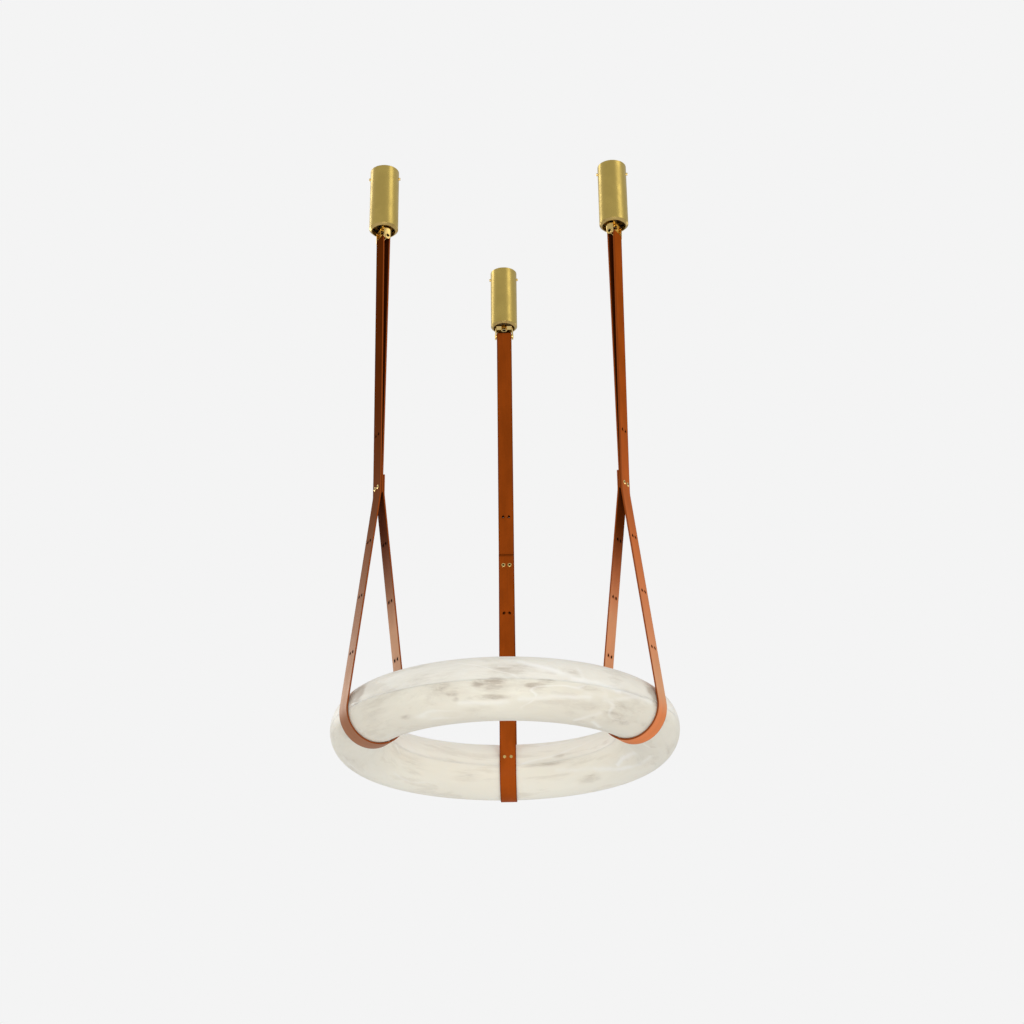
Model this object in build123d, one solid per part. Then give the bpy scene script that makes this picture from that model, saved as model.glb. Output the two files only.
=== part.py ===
from build123d import *
import os
from math import acos, atan2, cos, degrees, hypot, radians, sin, sqrt

# Ring pendant: an alabaster tube bent into a circle, carried by three leather belt loops that hang from
# three brass canopies on the ceiling. Millimetres, +Z up. The origin is on the ceiling plane, above the
# middle of the ring. Each suspension is drawn on its own axis: X points away from the ring's middle,
# Y runs along the tube, Z is up.

os.makedirs("parts", exist_ok=True)

# ---- driving dimensions: where things hang ----
CIRCLE_RADIUS = 332.0  # middle of the ring to the middle of the tube, and to each canopy
RING_DROP = 1430.0  # ceiling to the middle of the tube
JOINT_DROP = 881.0  # ceiling to the belt's joint screws
AZIMUTHS = {"rear": 90.0, "left": 210.0, "right": 330.0}
SWAY_LIMIT = 2.5  # degrees that the belts swing either way

# ---- alabaster tube ----
TUBE_RADIUS = 68.0
SHELL_WALL = 8.0
SEAM_CHAMFER = 0.8

# ---- light inside the tube ----
FRAME_WIDTH = 24.0
FRAME_HEIGHT = 14.0
FRAME_WALL = 1.5
STRIP_WIDTH = 10.0
STRIP_THICKNESS = 1.4
BRACKET_COUNT = 6
BRACKET_WIDTH = 12.0
BRACKET_THICKNESS = 2.5
PAD_THICKNESS = 6.0
INLET_RADIUS = 5.0
INLET_BORE_RADIUS = 2.75
INLET_HEIGHT = 20.0  # above the middle of the tube
INLET_FLANGE_RADIUS = 7.0
INLET_FLANGE = 1.5

# ---- leather belt ----
BELT_WIDTH = 40.0
BELT_THICKNESS = 4.0
PLY_GAP = 0.3  # between plies that lie on each other
LAP_ABOVE = 30.0  # overlap above the joint screws
LAP_BELOW = 16.0  # overlap below the joint screws
BEND_RADIUS = 60.0  # where the belt leaves the joint
SCREW_SPACING = 16.0
HOLE_PITCH = 138.0  # spare holes along the belt
HOLE_RADIUS = 2.5
SPARE_HOLE_ROWS = (1, -1, -2, -3)  # pitches above the joint
RIVET_HEIGHT = 20.0  # above the middle of the tube
RIVET_HEAD_RADIUS = 4.0
RIVET_HEAD = 1.4
RIVET_SHANK_RADIUS = 1.75

# ---- joint screws ----
POST_RADIUS = 3.0
SHANK_RADIUS = 2.0
HEAD_RADIUS = 5.2
HEAD_THICKNESS = 1.8
HEAD_ROUNDING = 0.7
SOCKET_RADIUS = 1.7
SOCKET_DEPTH = 1.0

# ---- fork, pin and hanger bolt ----
PIN_DROP = 25.0  # canopy rim to the middle of the pin
PIN_RADIUS = 6.0
PIN_PROUD = 0.4
PIN_DRILL_RADIUS = 3.4
PIN_DRILL_DEPTH = 5.0
EAR_THICKNESS = 4.0
EAR_RADIUS = 9.0
EAR_CLEARANCE = 1.0  # belt edge to ear
PLATE_LENGTHWISE = 20.0  # fork plate across the pin
PLATE_THICKNESS = 5.0
FORK_ROUNDING = 1.0  # inner corners of the fork
PLATE_ABOVE_RIM = 2.0  # underside of the fork plate above the canopy rim
BALL_RADIUS = 8.0
BALL_DROP = 2.0  # middle of the ball below the canopy rim
BALL_SKIRT = 3.0  # straight part of the bolt head below the ball
BOLT_RADIUS = 4.0
BOLT_PLAY = 1.0  # round the bolt in the fork plate, for the swing
BOLT_SOCKET_RADIUS = 4.0
BOLT_SOCKET_DEPTH = 3.5
NUT_RADIUS = 6.5  # across flats, halved
NUT_THICKNESS = 5.0
FORK_PLAY = 2.5  # lock nut to fork plate

# ---- canopy ----
COVER_RADIUS = 36.0
COVER_HEIGHT = 175.0
COVER_WALL = 2.0
RIM_CHAMFER = 5.0
RIM_OPENING_RADIUS = 29.0
RIM_SPIGOT = 6.0  # the part of the rim inside the cover
CEILING_GAP = 0.5
TOP_PLATE = 4.0
SKIRT_WALL = 3.0
SKIRT_DEPTH = 28.0
CORE_RADIUS = 9.0
THREAD_DEPTH = 25.0
STUD_HOLE_RADIUS = 4.25
DISC_THICKNESS = 2.5
DISC_CHAMFER = 0.6
COVER_SCREW_DROP = 20.0
COVER_SCREW_RADIUS = 2.0
COVER_SCREW_HEAD_RADIUS = 3.5
COVER_SCREW_HEAD = 3.5
COVER_SCREW_SLOT = 0.9

# ---- electrics in the rear canopy ----
ENTRY_RADIUS = 6.0
ENTRY_OFFSET = 20.0
GROMMET_WALL = 1.5
GROMMET_LIP = 1.0
DRIVER_DEPTH = 15.0
DRIVER_WIDTH = 26.0
DRIVER_DROP = 45.0
DRIVER_ABOVE_DISC = 17.0
DRIVER_ROUNDING = 1.5
TERMINAL_SIZE = (12.0, 28.0, 11.0)
TERMINAL_WAYS = 3
TERMINAL_SCREW_RADIUS = 2.0
TERMINAL_SCREW_DEPTH = 3.0

# ---- clearances ----
SLIDE_GAP = 0.3  # cover over skirt and disc
FIT = 0.05  # radial, pins and shanks in their holes
SEAT_GAP = 0.4  # tube in the rear loop
BALL_GAP = 0.15  # ball in the fork
THROUGH = 280.0  # length of a tool that cuts right through a piece

# ---- worked out ----
RIM_Z = -COVER_HEIGHT
PIN_Z = RIM_Z - PIN_DROP
CHAMFER_Z = RIM_Z + RIM_CHAMFER
BALL_Z = RIM_Z - BALL_DROP
PLATE_Z = RIM_Z + PLATE_ABOVE_RIM
NUT_Z = PLATE_Z + PLATE_THICKNESS + FORK_PLAY
DISC_Z = NUT_Z + NUT_THICKNESS
CORE_Z = DISC_Z + DISC_THICKNESS
JOINT_Z = -JOINT_DROP
RING_Z = -RING_DROP
PLY_PITCH = BELT_THICKNESS + PLY_GAP
OUTER_PLY_X = PLY_PITCH / 2
MIDDLE_PLY_X = OUTER_PLY_X - PLY_PITCH
INNER_PLY_X = MIDDLE_PLY_X - PLY_PITCH
EAR_INNER = BELT_WIDTH / 2 + EAR_CLEARANCE
EAR_OUTER = EAR_INNER + EAR_THICKNESS
COVER_BORE = COVER_RADIUS - COVER_WALL
SKIRT_RADIUS = COVER_BORE - SLIDE_GAP
CAVITY_RADIUS = TUBE_RADIUS - SHELL_WALL
# The front loops tilt across the tube when the pendant sways, so they have the play that this needs.
TILT_ACROSS = SWAY_LIMIT * cos(radians(AZIMUTHS["left"] - 180.0))
TILT_PLAY = BELT_WIDTH / 2 * sin(radians(TILT_ACROSS))
# Along the flat belt the tube's inner side bows, and the loop is that much roomier there.
TUBE_BOW = (BELT_WIDTH / 2) ** 2 / (2 * (CIRCLE_RADIUS - TUBE_RADIUS))
LOOP_GAPS = {"rear": SEAT_GAP, "left": SEAT_GAP + TILT_PLAY, "right": SEAT_GAP + TILT_PLAY}


def upright(radius, height, bottom, x=0.0, y=0.0):
    """A vertical cylinder standing on the height called bottom."""
    return Pos(x, y, bottom + height / 2) * Cylinder(radius, height)


def radial(radius, x_from, x_to, y, z):
    """A cylinder along X between two places."""
    return Pos((x_from + x_to) / 2, y, z) * Rot(0, 90, 0) * Cylinder(radius, x_to - x_from)


def turned(points):
    """A solid of revolution about Z from (radius, height) points."""
    return revolve(Plane.XZ * make_face(Polyline(*points, close=True)), Axis.Z)


def cross_tangent(start, start_radius, end, end_radius, side):
    """The line that leaves one circle and meets another on its other side: both touching points."""
    dx, dz = end[0] - start[0], end[1] - start[1]
    normal = atan2(dz, dx) + side * acos((start_radius + end_radius) / hypot(dx, dz))
    nx, nz = cos(normal), sin(normal)
    leave = (start[0] + start_radius * nx, start[1] + start_radius * nz)
    meet = (end[0] - end_radius * nx, end[1] - end_radius * nz)
    return leave, meet


def bearing(centre, point):
    """The angle of a point round a centre, in degrees."""
    return degrees(atan2(point[1] - centre[1], point[0] - centre[0]))


def straight(start, end):
    """A straight stretch of the belt's middle line."""
    return {"start": start, "end": end}


def curved(centre, radius, start, sweep):
    """A bend of the belt's middle line: start and sweep in degrees, sweep positive anticlockwise."""
    return {"centre": centre, "radius": radius, "from": start, "sweep": sweep}


def beside(stretch, offset):
    """The edge that runs beside a stretch, offset to its left."""
    if "centre" in stretch:
        inward = offset if stretch["sweep"] > 0 else -offset
        return CenterArc(stretch["centre"], stretch["radius"] - inward, stretch["from"], stretch["sweep"])
    (x0, z0), (x1, z1) = stretch["start"], stretch["end"]
    length = hypot(x1 - x0, z1 - z0)
    nx, nz = -(z1 - z0) / length * offset, (x1 - x0) / length * offset
    return Line((x0 + nx, z0 + nz), (x1 + nx, z1 + nz))


def ribbon(stretches, thickness, width):
    """A flat band that follows its middle line, in the plane of X and Z."""
    left = [beside(stretch, thickness / 2) for stretch in stretches]
    right = [beside(stretch, -thickness / 2) for stretch in stretches]
    caps = [Line(left[0] @ 0, right[0] @ 0), Line(left[-1] @ 1, right[-1] @ 1)]
    face = Face(Wire([*left, *right, *caps]))
    return extrude(Plane.XZ * face, width / 2, both=True)


def belt_line(loop_gap):
    """The belt's middle line: over the pin, down past the joint, under the tube and back up to the joint."""
    lap_top, lap_bottom = JOINT_Z + LAP_ABOVE, JOINT_Z - LAP_BELOW
    pin = (0.0, PIN_Z)
    pin_wrap = PIN_RADIUS + FIT + BELT_THICKNESS / 2
    tube = (-TUBE_BOW / 2, RING_Z + TUBE_BOW / 2)
    tube_wrap = TUBE_RADIUS + loop_gap + (TUBE_BOW + BELT_THICKNESS) / 2
    rise = (MIDDLE_PLY_X - BEND_RADIUS, lap_top)
    fall = (OUTER_PLY_X + BEND_RADIUS, lap_top)
    spread_out = (OUTER_PLY_X + BEND_RADIUS, lap_bottom)
    spread_in = (INNER_PLY_X - BEND_RADIUS, lap_bottom)
    rise_leave, pin_start = cross_tangent(rise, BEND_RADIUS, pin, pin_wrap, -1)
    fall_meet, pin_end = cross_tangent(fall, BEND_RADIUS, pin, pin_wrap, 1)
    out_leave, tube_start = cross_tangent(spread_out, BEND_RADIUS, tube, tube_wrap, -1)
    in_leave, tube_end = cross_tangent(spread_in, BEND_RADIUS, tube, tube_wrap, 1)
    rise_turn = bearing(rise, rise_leave)
    fall_turn = bearing(fall, fall_meet) - 180.0
    out_turn = (bearing(spread_out, out_leave) + 360.0) % 360.0 - 180.0
    in_turn = bearing(spread_in, in_leave)
    pin_from, pin_to = bearing(pin, pin_start) % 360.0, bearing(pin, pin_end)
    tube_from, tube_to = bearing(tube, tube_start), bearing(tube, tube_end) % 360.0 - 360.0
    return [
        straight((MIDDLE_PLY_X, lap_bottom), (MIDDLE_PLY_X, lap_top)),
        curved(rise, BEND_RADIUS, 0.0, rise_turn),
        straight(rise_leave, pin_start),
        curved(pin, pin_wrap, pin_from, pin_to - pin_from),
        straight(pin_end, fall_meet),
        curved(fall, BEND_RADIUS, 180.0 + fall_turn, -fall_turn),
        straight((OUTER_PLY_X, lap_top), (OUTER_PLY_X, lap_bottom)),
        curved(spread_out, BEND_RADIUS, 180.0, out_turn),
        straight(out_leave, tube_start),
        curved(tube, tube_wrap, tube_from, tube_to - tube_from),
        straight(tube_end, in_leave),
        curved(spread_in, BEND_RADIUS, in_turn, -in_turn),
        straight((INNER_PLY_X, lap_bottom), (INNER_PLY_X, lap_top)),
    ]


def inner_branch_x(loop_gap, height):
    """The inner branch's visible face at a height above the middle of the tube: its place and its lean."""
    branch = belt_line(loop_gap)[-3]
    (x0, z0), (x1, z1) = branch["start"], branch["end"]
    lean = atan2(x1 - x0, z1 - z0)
    middle = x0 + (RING_Z + height - z0) * (x1 - x0) / (z1 - z0)
    return middle - BELT_THICKNESS / 2 / cos(lean), lean


def strap(loop_gap):
    """The leather belt with its joint holes, spare holes and rivet holes."""
    body = ribbon(belt_line(loop_gap), BELT_THICKNESS, BELT_WIDTH)
    for side in (-1, 1):
        y = side * SCREW_SPACING / 2
        body -= radial(POST_RADIUS + FIT, -THROUGH / 2, THROUGH / 2, y, JOINT_Z)
        for row in SPARE_HOLE_ROWS:
            body -= radial(HOLE_RADIUS, -THROUGH / 2, THROUGH / 2, y, JOINT_Z + row * HOLE_PITCH)
        rivet_hole = upright(RIVET_SHANK_RADIUS + FIT, 2 * BELT_THICKNESS, -1.5 * BELT_THICKNESS)
        body -= rivet_place(loop_gap, side) * rivet_hole
    return body


def rivet_place(loop_gap, side):
    """A frame on the inner branch's visible face, with Z pointing out of the leather."""
    x, lean = inner_branch_x(loop_gap, RIVET_HEIGHT)
    return Pos(x, side * SCREW_SPACING / 2, RING_Z + RIVET_HEIGHT) * Rot(0, -90 + degrees(lean), 0)


def domed(radius, thickness, rounding):
    """A round head on Z = 0 with a rounded edge on top."""
    head = upright(radius, thickness, 0.0)
    return fillet(head.edges().group_by(Axis.Z)[-1], rounding)


def hex_socket(radius, depth, top):
    """A hexagonal recess that goes down from the height called top."""
    return Pos(0, 0, top - depth) * extrude(RegularPolygon(radius, 6), depth)


def loop_rivets(loop_gap):
    """Two small rivets on the belt's inner branch, flush behind the leather."""
    rivet = domed(RIVET_HEAD_RADIUS, RIVET_HEAD, HEAD_ROUNDING)
    rivet += upright(RIVET_SHANK_RADIUS, BELT_THICKNESS, -BELT_THICKNESS)
    return Compound([rivet_place(loop_gap, side) * rivet for side in (-1, 1)])


def joint_fasteners():
    """The two barrel posts and the two screws through the belt's three plies."""
    outer_face = OUTER_PLY_X + BELT_THICKNESS / 2
    inner_face = INNER_PLY_X - BELT_THICKNESS / 2
    stack = outer_face - inner_face
    head = domed(HEAD_RADIUS, HEAD_THICKNESS, HEAD_ROUNDING)
    head -= hex_socket(SOCKET_RADIUS, SOCKET_DEPTH, HEAD_THICKNESS)
    post = head + upright(POST_RADIUS, stack - FIT, -stack + FIT)
    post -= upright(SHANK_RADIUS + FIT, stack, -stack)
    screw = head + upright(SHANK_RADIUS, stack - FIT, -stack + FIT)
    places = [side * SCREW_SPACING / 2 for side in (-1, 1)]
    posts = [Pos(outer_face, y, JOINT_Z) * Rot(0, 90, 0) * post for y in places]
    screws = [Pos(inner_face, y, JOINT_Z) * Rot(0, -90, 0) * screw for y in places]
    return Compound(posts), Compound(screws)


def fork():
    """A brass fork turned from a round bar: a U from the front and ears with round ends from the side."""
    top, ear_end = PLATE_Z + PLATE_THICKNESS, PIN_Z - EAR_RADIUS
    front = Pos(0, (top + ear_end) / 2) * Rectangle(2 * EAR_OUTER, top - ear_end)
    front -= Pos(0, (PLATE_Z + ear_end) / 2) * Rectangle(2 * EAR_INNER, PLATE_Z - ear_end)
    body = extrude(Plane.YZ * front, PLATE_LENGTHWISE, both=True)
    shoulder = PLATE_LENGTHWISE / 2
    corners = [
        (-shoulder, top), (shoulder, top), (shoulder, PLATE_Z),
        (EAR_RADIUS, PIN_Z), (-EAR_RADIUS, PIN_Z), (-shoulder, PLATE_Z),
    ]
    side_view = make_face(Polyline(*corners, close=True)) + Pos(0, PIN_Z) * Circle(EAR_RADIUS)
    body &= extrude(Plane.XZ * side_view, 2 * EAR_OUTER, both=True)
    body &= upright(EAR_OUTER, top - ear_end, ear_end)
    inner_corners = body.edges().filter_by(Axis.X).filter_by_position(Axis.Z, PLATE_Z - FIT, PLATE_Z + FIT)
    body = fillet(inner_corners, FORK_ROUNDING)
    body -= Pos(0, 0, BALL_Z) * Sphere(BALL_RADIUS + BALL_GAP)
    body -= upright(BOLT_RADIUS + BOLT_PLAY, 2 * PLATE_THICKNESS, PLATE_Z)
    body -= Pos(0, 0, PIN_Z) * Rot(90, 0, 0) * Cylinder(PIN_RADIUS + FIT, THROUGH)
    return body


def fork_pin():
    """The cross pin, drilled at both ends, with chamfered edges."""
    length = 2 * (EAR_OUTER + PIN_PROUD)
    body = Cylinder(PIN_RADIUS, length)
    body = chamfer(body.edges().filter_by(GeomType.CIRCLE), PIN_PROUD)
    for end in (-1, 1):
        drilled = Cylinder(PIN_DRILL_RADIUS, PIN_DRILL_DEPTH)
        body -= Pos(0, 0, end * (length - PIN_DRILL_DEPTH) / 2) * drilled
    return Pos(0, 0, PIN_Z) * Rot(90, 0, 0) * body


def hanger_bolt():
    """The bolt that the fork swings on: a ball-topped head with a hexagonal socket, and its shank."""
    ball = Pos(0, 0, BALL_Z) * Sphere(BALL_RADIUS, arc_size1=0)
    skirt = upright(BALL_RADIUS, BALL_SKIRT, BALL_Z - BALL_SKIRT)
    shank = upright(BOLT_RADIUS, CORE_Z + THREAD_DEPTH - BALL_Z - FIT, BALL_Z)
    socket = hex_socket(BOLT_SOCKET_RADIUS, BOLT_SOCKET_DEPTH, BALL_Z - BALL_SKIRT + BOLT_SOCKET_DEPTH)
    return ball + skirt + shank - socket


def lock_nut():
    """The hexagonal nut that locks the hanger bolt under the closing disc."""
    flats = RegularPolygon(NUT_RADIUS, 6, major_radius=False) - Circle(BOLT_RADIUS + FIT)
    return Pos(0, 0, NUT_Z) * extrude(flats, NUT_THICKNESS)


def closing_disc():
    """The disc that closes the canopy's opening, with a softened lower edge."""
    disc = upright(SKIRT_RADIUS, DISC_THICKNESS, DISC_Z)
    disc = chamfer(disc.edges().group_by(Axis.Z)[0], DISC_CHAMFER)
    return disc - upright(BOLT_RADIUS + FIT, DISC_THICKNESS, DISC_Z)


def core_tube():
    """The load-carrying tube: threaded at the top for the ceiling stud and below for the hanger bolt."""
    body = upright(CORE_RADIUS, -TOP_PLATE - CORE_Z, CORE_Z)
    body -= upright(STUD_HOLE_RADIUS, THREAD_DEPTH, -TOP_PLATE - THREAD_DEPTH)
    return body - upright(BOLT_RADIUS + FIT, THREAD_DEPTH, CORE_Z)


def ceiling_plate(entry):
    """The plate on the ceiling, with the skirt that centres the cover; the rear one has the mains entry."""
    inner = SKIRT_RADIUS - SKIRT_WALL
    body = turned([
        (STUD_HOLE_RADIUS, 0), (SKIRT_RADIUS, 0), (SKIRT_RADIUS, -SKIRT_DEPTH), (inner, -SKIRT_DEPTH),
        (inner, -TOP_PLATE), (STUD_HOLE_RADIUS, -TOP_PLATE),
    ])
    if entry:
        body -= upright(ENTRY_RADIUS + GROMMET_WALL + FIT, TOP_PLATE, -TOP_PLATE, x=-ENTRY_OFFSET)
    return body


def cable_grommet():
    """A rubber ring in the mains entry, with a lip below the plate."""
    outer = ENTRY_RADIUS + GROMMET_WALL
    ring = turned([
        (ENTRY_RADIUS, 0), (outer, 0), (outer, -TOP_PLATE), (outer + GROMMET_LIP, -TOP_PLATE),
        (outer + GROMMET_LIP, -TOP_PLATE - GROMMET_WALL), (ENTRY_RADIUS, -TOP_PLATE - GROMMET_WALL),
    ])
    return Pos(-ENTRY_OFFSET, 0, 0) * ring


def canopy_cover(azimuth):
    """The satin brass sleeve, with the two holes for its side screws."""
    body = upright(COVER_RADIUS, -CEILING_GAP - CHAMFER_Z, CHAMFER_Z)
    body -= upright(COVER_BORE, -CEILING_GAP - CHAMFER_Z, CHAMFER_Z)
    holes = radial(COVER_SCREW_RADIUS + FIT, -THROUGH / 2, THROUGH / 2, 0, -COVER_SCREW_DROP)
    return body - Rot(0, 0, -azimuth) * holes


def canopy_rim():
    """The polished ring at the sleeve's foot: a chamfer outside, and a spigot pushed up into the sleeve."""
    spigot = COVER_BORE - FIT
    return turned([
        (COVER_RADIUS, CHAMFER_Z), (COVER_RADIUS - RIM_CHAMFER, RIM_Z), (RIM_OPENING_RADIUS, RIM_Z),
        (RIM_OPENING_RADIUS, CHAMFER_Z + RIM_SPIGOT), (spigot, CHAMFER_Z + RIM_SPIGOT), (spigot, CHAMFER_Z),
    ])


def cover_screws(azimuth):
    """The two slotted side screws, whose tips press on the ceiling plate's skirt."""
    tip = SKIRT_RADIUS + SLIDE_GAP / 2
    shank = upright(COVER_SCREW_RADIUS, COVER_RADIUS - tip, tip)
    head = Pos(0, 0, COVER_RADIUS) * domed(COVER_SCREW_HEAD_RADIUS, COVER_SCREW_HEAD, HEAD_ROUNDING)
    slot = Box(2 * COVER_SCREW_HEAD_RADIUS, COVER_SCREW_SLOT, 2 * COVER_SCREW_SLOT)
    screw = shank + head - Pos(0, 0, COVER_RADIUS + COVER_SCREW_HEAD) * slot
    screw = Pos(0, 0, -COVER_SCREW_DROP) * Rot(0, 90, 0) * screw
    return Compound([Rot(0, 0, turn - azimuth) * screw for turn in (0, 180)])


def led_driver():
    """The driver's case, against the core tube, with rounded edges."""
    foot = CORE_Z + DRIVER_ABOVE_DISC
    place = Pos(CORE_RADIUS + FIT + DRIVER_DEPTH / 2, 0, (foot - DRIVER_DROP) / 2)
    case = place * Box(DRIVER_DEPTH, DRIVER_WIDTH, -DRIVER_DROP - foot)
    return fillet(case.edges().filter_by(Axis.Z), DRIVER_ROUNDING)


def terminal_block():
    """The mains terminal under the rear ceiling plate, with its clamping screws' wells."""
    depth, width, height = TERMINAL_SIZE
    x = CORE_RADIUS + FIT + depth / 2
    body = Pos(x, 0, -TOP_PLATE - height / 2) * Box(depth, width, height)
    for way in range(TERMINAL_WAYS):
        y = (way - (TERMINAL_WAYS - 1) / 2) * width / TERMINAL_WAYS
        body -= upright(TERMINAL_SCREW_RADIUS, TERMINAL_SCREW_DEPTH, -TOP_PLATE - height, x=x, y=y)
    return body


def half_shell(side):
    """Half of the alabaster tube, above or below the seam, with a fine chamfer along both seam edges."""
    section = Circle(TUBE_RADIUS) - Circle(CAVITY_RADIUS)
    section &= Pos(0, side * TUBE_RADIUS) * Rectangle(2 * TUBE_RADIUS, 2 * TUBE_RADIUS)
    corners = section.vertices().filter_by_position(Axis.Y, -FIT, FIT).sort_by(Axis.X)
    section = chamfer([corners[0], corners[-1]], SEAM_CHAMFER)
    return round_the_ring(section)


def round_the_ring(section):
    """A ring inside the tube, from its section round the middle of the tube."""
    return Pos(0, 0, RING_Z) * revolve(Plane.XZ * Pos(CIRCLE_RADIUS, 0) * section, Axis.Z)


def light_frame():
    """The aluminium box ring that carries the light strips."""
    hollow = Rectangle(FRAME_WIDTH - 2 * FRAME_WALL, FRAME_HEIGHT - 2 * FRAME_WALL)
    return round_the_ring(Rectangle(FRAME_WIDTH, FRAME_HEIGHT) - hollow)


def light_strip(side):
    """A light strip on the frame's upper or lower face."""
    height = side * (FRAME_HEIGHT + STRIP_THICKNESS) / 2
    return round_the_ring(Pos(0, height) * Rectangle(STRIP_WIDTH, STRIP_THICKNESS))


def bracket_and_pad(side):
    """One arm from the frame's side towards the shells' seam, and the rubber pad at its end."""
    half = BRACKET_WIDTH / 2
    side_face = CIRCLE_RADIUS + side * FRAME_WIDTH / 2
    if side < 0:  # the corners of a flat arm end meet the hollow inner face first
        side_face = sqrt(side_face**2 - half**2)
    pad_end = CIRCLE_RADIUS + side * (sqrt(CAVITY_RADIUS**2 - half**2) - FIT)
    plate_end = pad_end - side * PAD_THICKNESS
    arm_end = plate_end - side * BRACKET_THICKNESS
    arm = Box(abs(arm_end - side_face), BRACKET_WIDTH, BRACKET_THICKNESS)
    arm = Pos((side_face + arm_end) / 2, 0, 0) * arm
    plate = Pos((arm_end + plate_end) / 2, 0, 0) * Box(BRACKET_THICKNESS, BRACKET_WIDTH, BRACKET_WIDTH)
    pad = radial(half, min(plate_end, pad_end), max(plate_end, pad_end), 0, 0)
    return arm + plate, pad


def frame_supports():
    """The arms and pads all round the ring, turned to stand between the belts."""
    arms, pads = [], []
    for step in range(BRACKET_COUNT):
        turn = Pos(0, 0, RING_Z) * Rot(0, 0, (step + 0.5) * 360.0 / BRACKET_COUNT)
        for side in (-1, 1):
            arm, pad = bracket_and_pad(side)
            arms.append(turn * arm)
            pads.append(turn * pad)
    return Compound(arms), Compound(pads)


def inlet_place():
    """A frame at the middle of the tube by the rear belt, with Z pointing through the inlet."""
    rise = degrees(atan2(INLET_HEIGHT, sqrt(TUBE_RADIUS**2 - INLET_HEIGHT**2)))
    return suspension("rear") * Pos(0, 0, RING_Z) * Rot(0, -90 + rise, 0)


def inlet_bush():
    """The brass cable inlet in the tube's inner wall, trimmed flush with the alabaster."""
    flange_top = sqrt(CAVITY_RADIUS**2 - INLET_FLANGE_RADIUS**2) - FIT
    flange_bottom = flange_top - INLET_FLANGE
    bush = upright(INLET_RADIUS, TUBE_RADIUS - flange_bottom, flange_bottom)
    bush += upright(INLET_FLANGE_RADIUS, INLET_FLANGE, flange_bottom)
    bush -= upright(INLET_BORE_RADIUS, 2 * TUBE_RADIUS, 0)
    return (inlet_place() * bush) & (Pos(0, 0, RING_Z) * Torus(CIRCLE_RADIUS, TUBE_RADIUS))


def suspension(name):
    """The place of one suspension's own axis."""
    return Rot(0, 0, AZIMUTHS[name]) * Pos(CIRCLE_RADIUS, 0, 0)


def save(shape, node):
    """Writes one node."""
    export_step(shape, f"parts/{node}.step")


posts, screws = joint_fasteners()
for name, azimuth in AZIMUTHS.items():
    place, gap = suspension(name), LOOP_GAPS[name]
    save(place * ceiling_plate(entry=name == "rear"), f"ceiling_plate_{name}")
    save(place * core_tube(), f"core_tube_{name}")
    save(place * closing_disc(), f"closing_disc_{name}")
    save(place * lock_nut(), f"lock_nut_{name}")
    save(place * hanger_bolt(), f"hanger_bolt_{name}")
    save(place * canopy_cover(azimuth), f"canopy_cover_{name}")
    save(place * canopy_rim(), f"canopy_rim_{name}")
    save(place * cover_screws(azimuth), f"cover_screws_{name}")
    save(place * fork(), f"fork_{name}")
    save(place * fork_pin(), f"fork_pin_{name}")
    save(place * strap(gap), f"strap_{name}")
    save(place * posts, f"joint_posts_{name}")
    save(place * screws, f"joint_screws_{name}")
    save(place * loop_rivets(gap), f"loop_rivets_{name}")

save(suspension("rear") * led_driver(), "led_driver")
save(suspension("rear") * terminal_block(), "terminal_block")
save(suspension("rear") * cable_grommet(), "cable_grommet")

inlet_hole = inlet_place() * upright(INLET_RADIUS + FIT, TUBE_RADIUS, CAVITY_RADIUS / 2)
save(half_shell(1) - inlet_hole, "alabaster_upper")
save(half_shell(-1), "alabaster_lower")
save(light_frame(), "light_frame")
save(light_strip(1), "led_strip_upper")
save(light_strip(-1), "led_strip_lower")
brackets, pads = frame_supports()
save(brackets, "frame_brackets")
save(pads, "frame_pads")
save(inlet_bush(), "inlet_bush")
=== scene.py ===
"""Ring pendant: alabaster tube ring, leather belts, brass canopies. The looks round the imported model."""

import math

import bmesh
import bpy
import numpy as np
from bpy.props import FloatProperty, FloatVectorProperty, PointerProperty
from mathutils import Matrix, Vector


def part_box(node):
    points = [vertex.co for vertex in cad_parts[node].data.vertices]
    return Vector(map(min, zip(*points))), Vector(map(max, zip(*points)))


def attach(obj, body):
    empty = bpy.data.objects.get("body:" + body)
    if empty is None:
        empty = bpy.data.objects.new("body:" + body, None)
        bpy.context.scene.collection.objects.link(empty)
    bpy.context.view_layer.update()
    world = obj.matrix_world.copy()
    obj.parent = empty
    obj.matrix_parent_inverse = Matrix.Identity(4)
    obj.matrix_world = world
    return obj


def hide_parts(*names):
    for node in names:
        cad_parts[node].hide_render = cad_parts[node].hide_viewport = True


bl_info = {
    "name": "Alabaster ring pendant",
    "version": (1, 0, 0),
    "blender": (4, 5, 0),
    "location": "View3D > Sidebar > Pendant",
    "description": "Builds the finished surfaces of an alabaster ring pendant on leather belts",
    "category": "Object",
}

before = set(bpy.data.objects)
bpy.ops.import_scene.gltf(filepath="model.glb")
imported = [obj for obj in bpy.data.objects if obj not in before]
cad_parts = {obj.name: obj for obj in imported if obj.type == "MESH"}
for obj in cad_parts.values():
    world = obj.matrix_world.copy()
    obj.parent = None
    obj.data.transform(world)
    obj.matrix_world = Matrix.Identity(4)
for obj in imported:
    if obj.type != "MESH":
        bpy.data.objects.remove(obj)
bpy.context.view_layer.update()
SUSPENSIONS = ("rear", "left", "right")


# ---- places and sizes that come from the frame ----


def middle(node):
    """The middle of a node's box."""
    low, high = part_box(node)
    return (low + high) / 2


def extent(node):
    """The size of a node's box."""
    low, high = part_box(node)
    return high - low


def azimuth(name):
    """The bearing of a suspension round the ring's axis, in radians."""
    place = middle(f"core_tube_{name}")
    return math.atan2(place.y, place.x)


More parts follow.
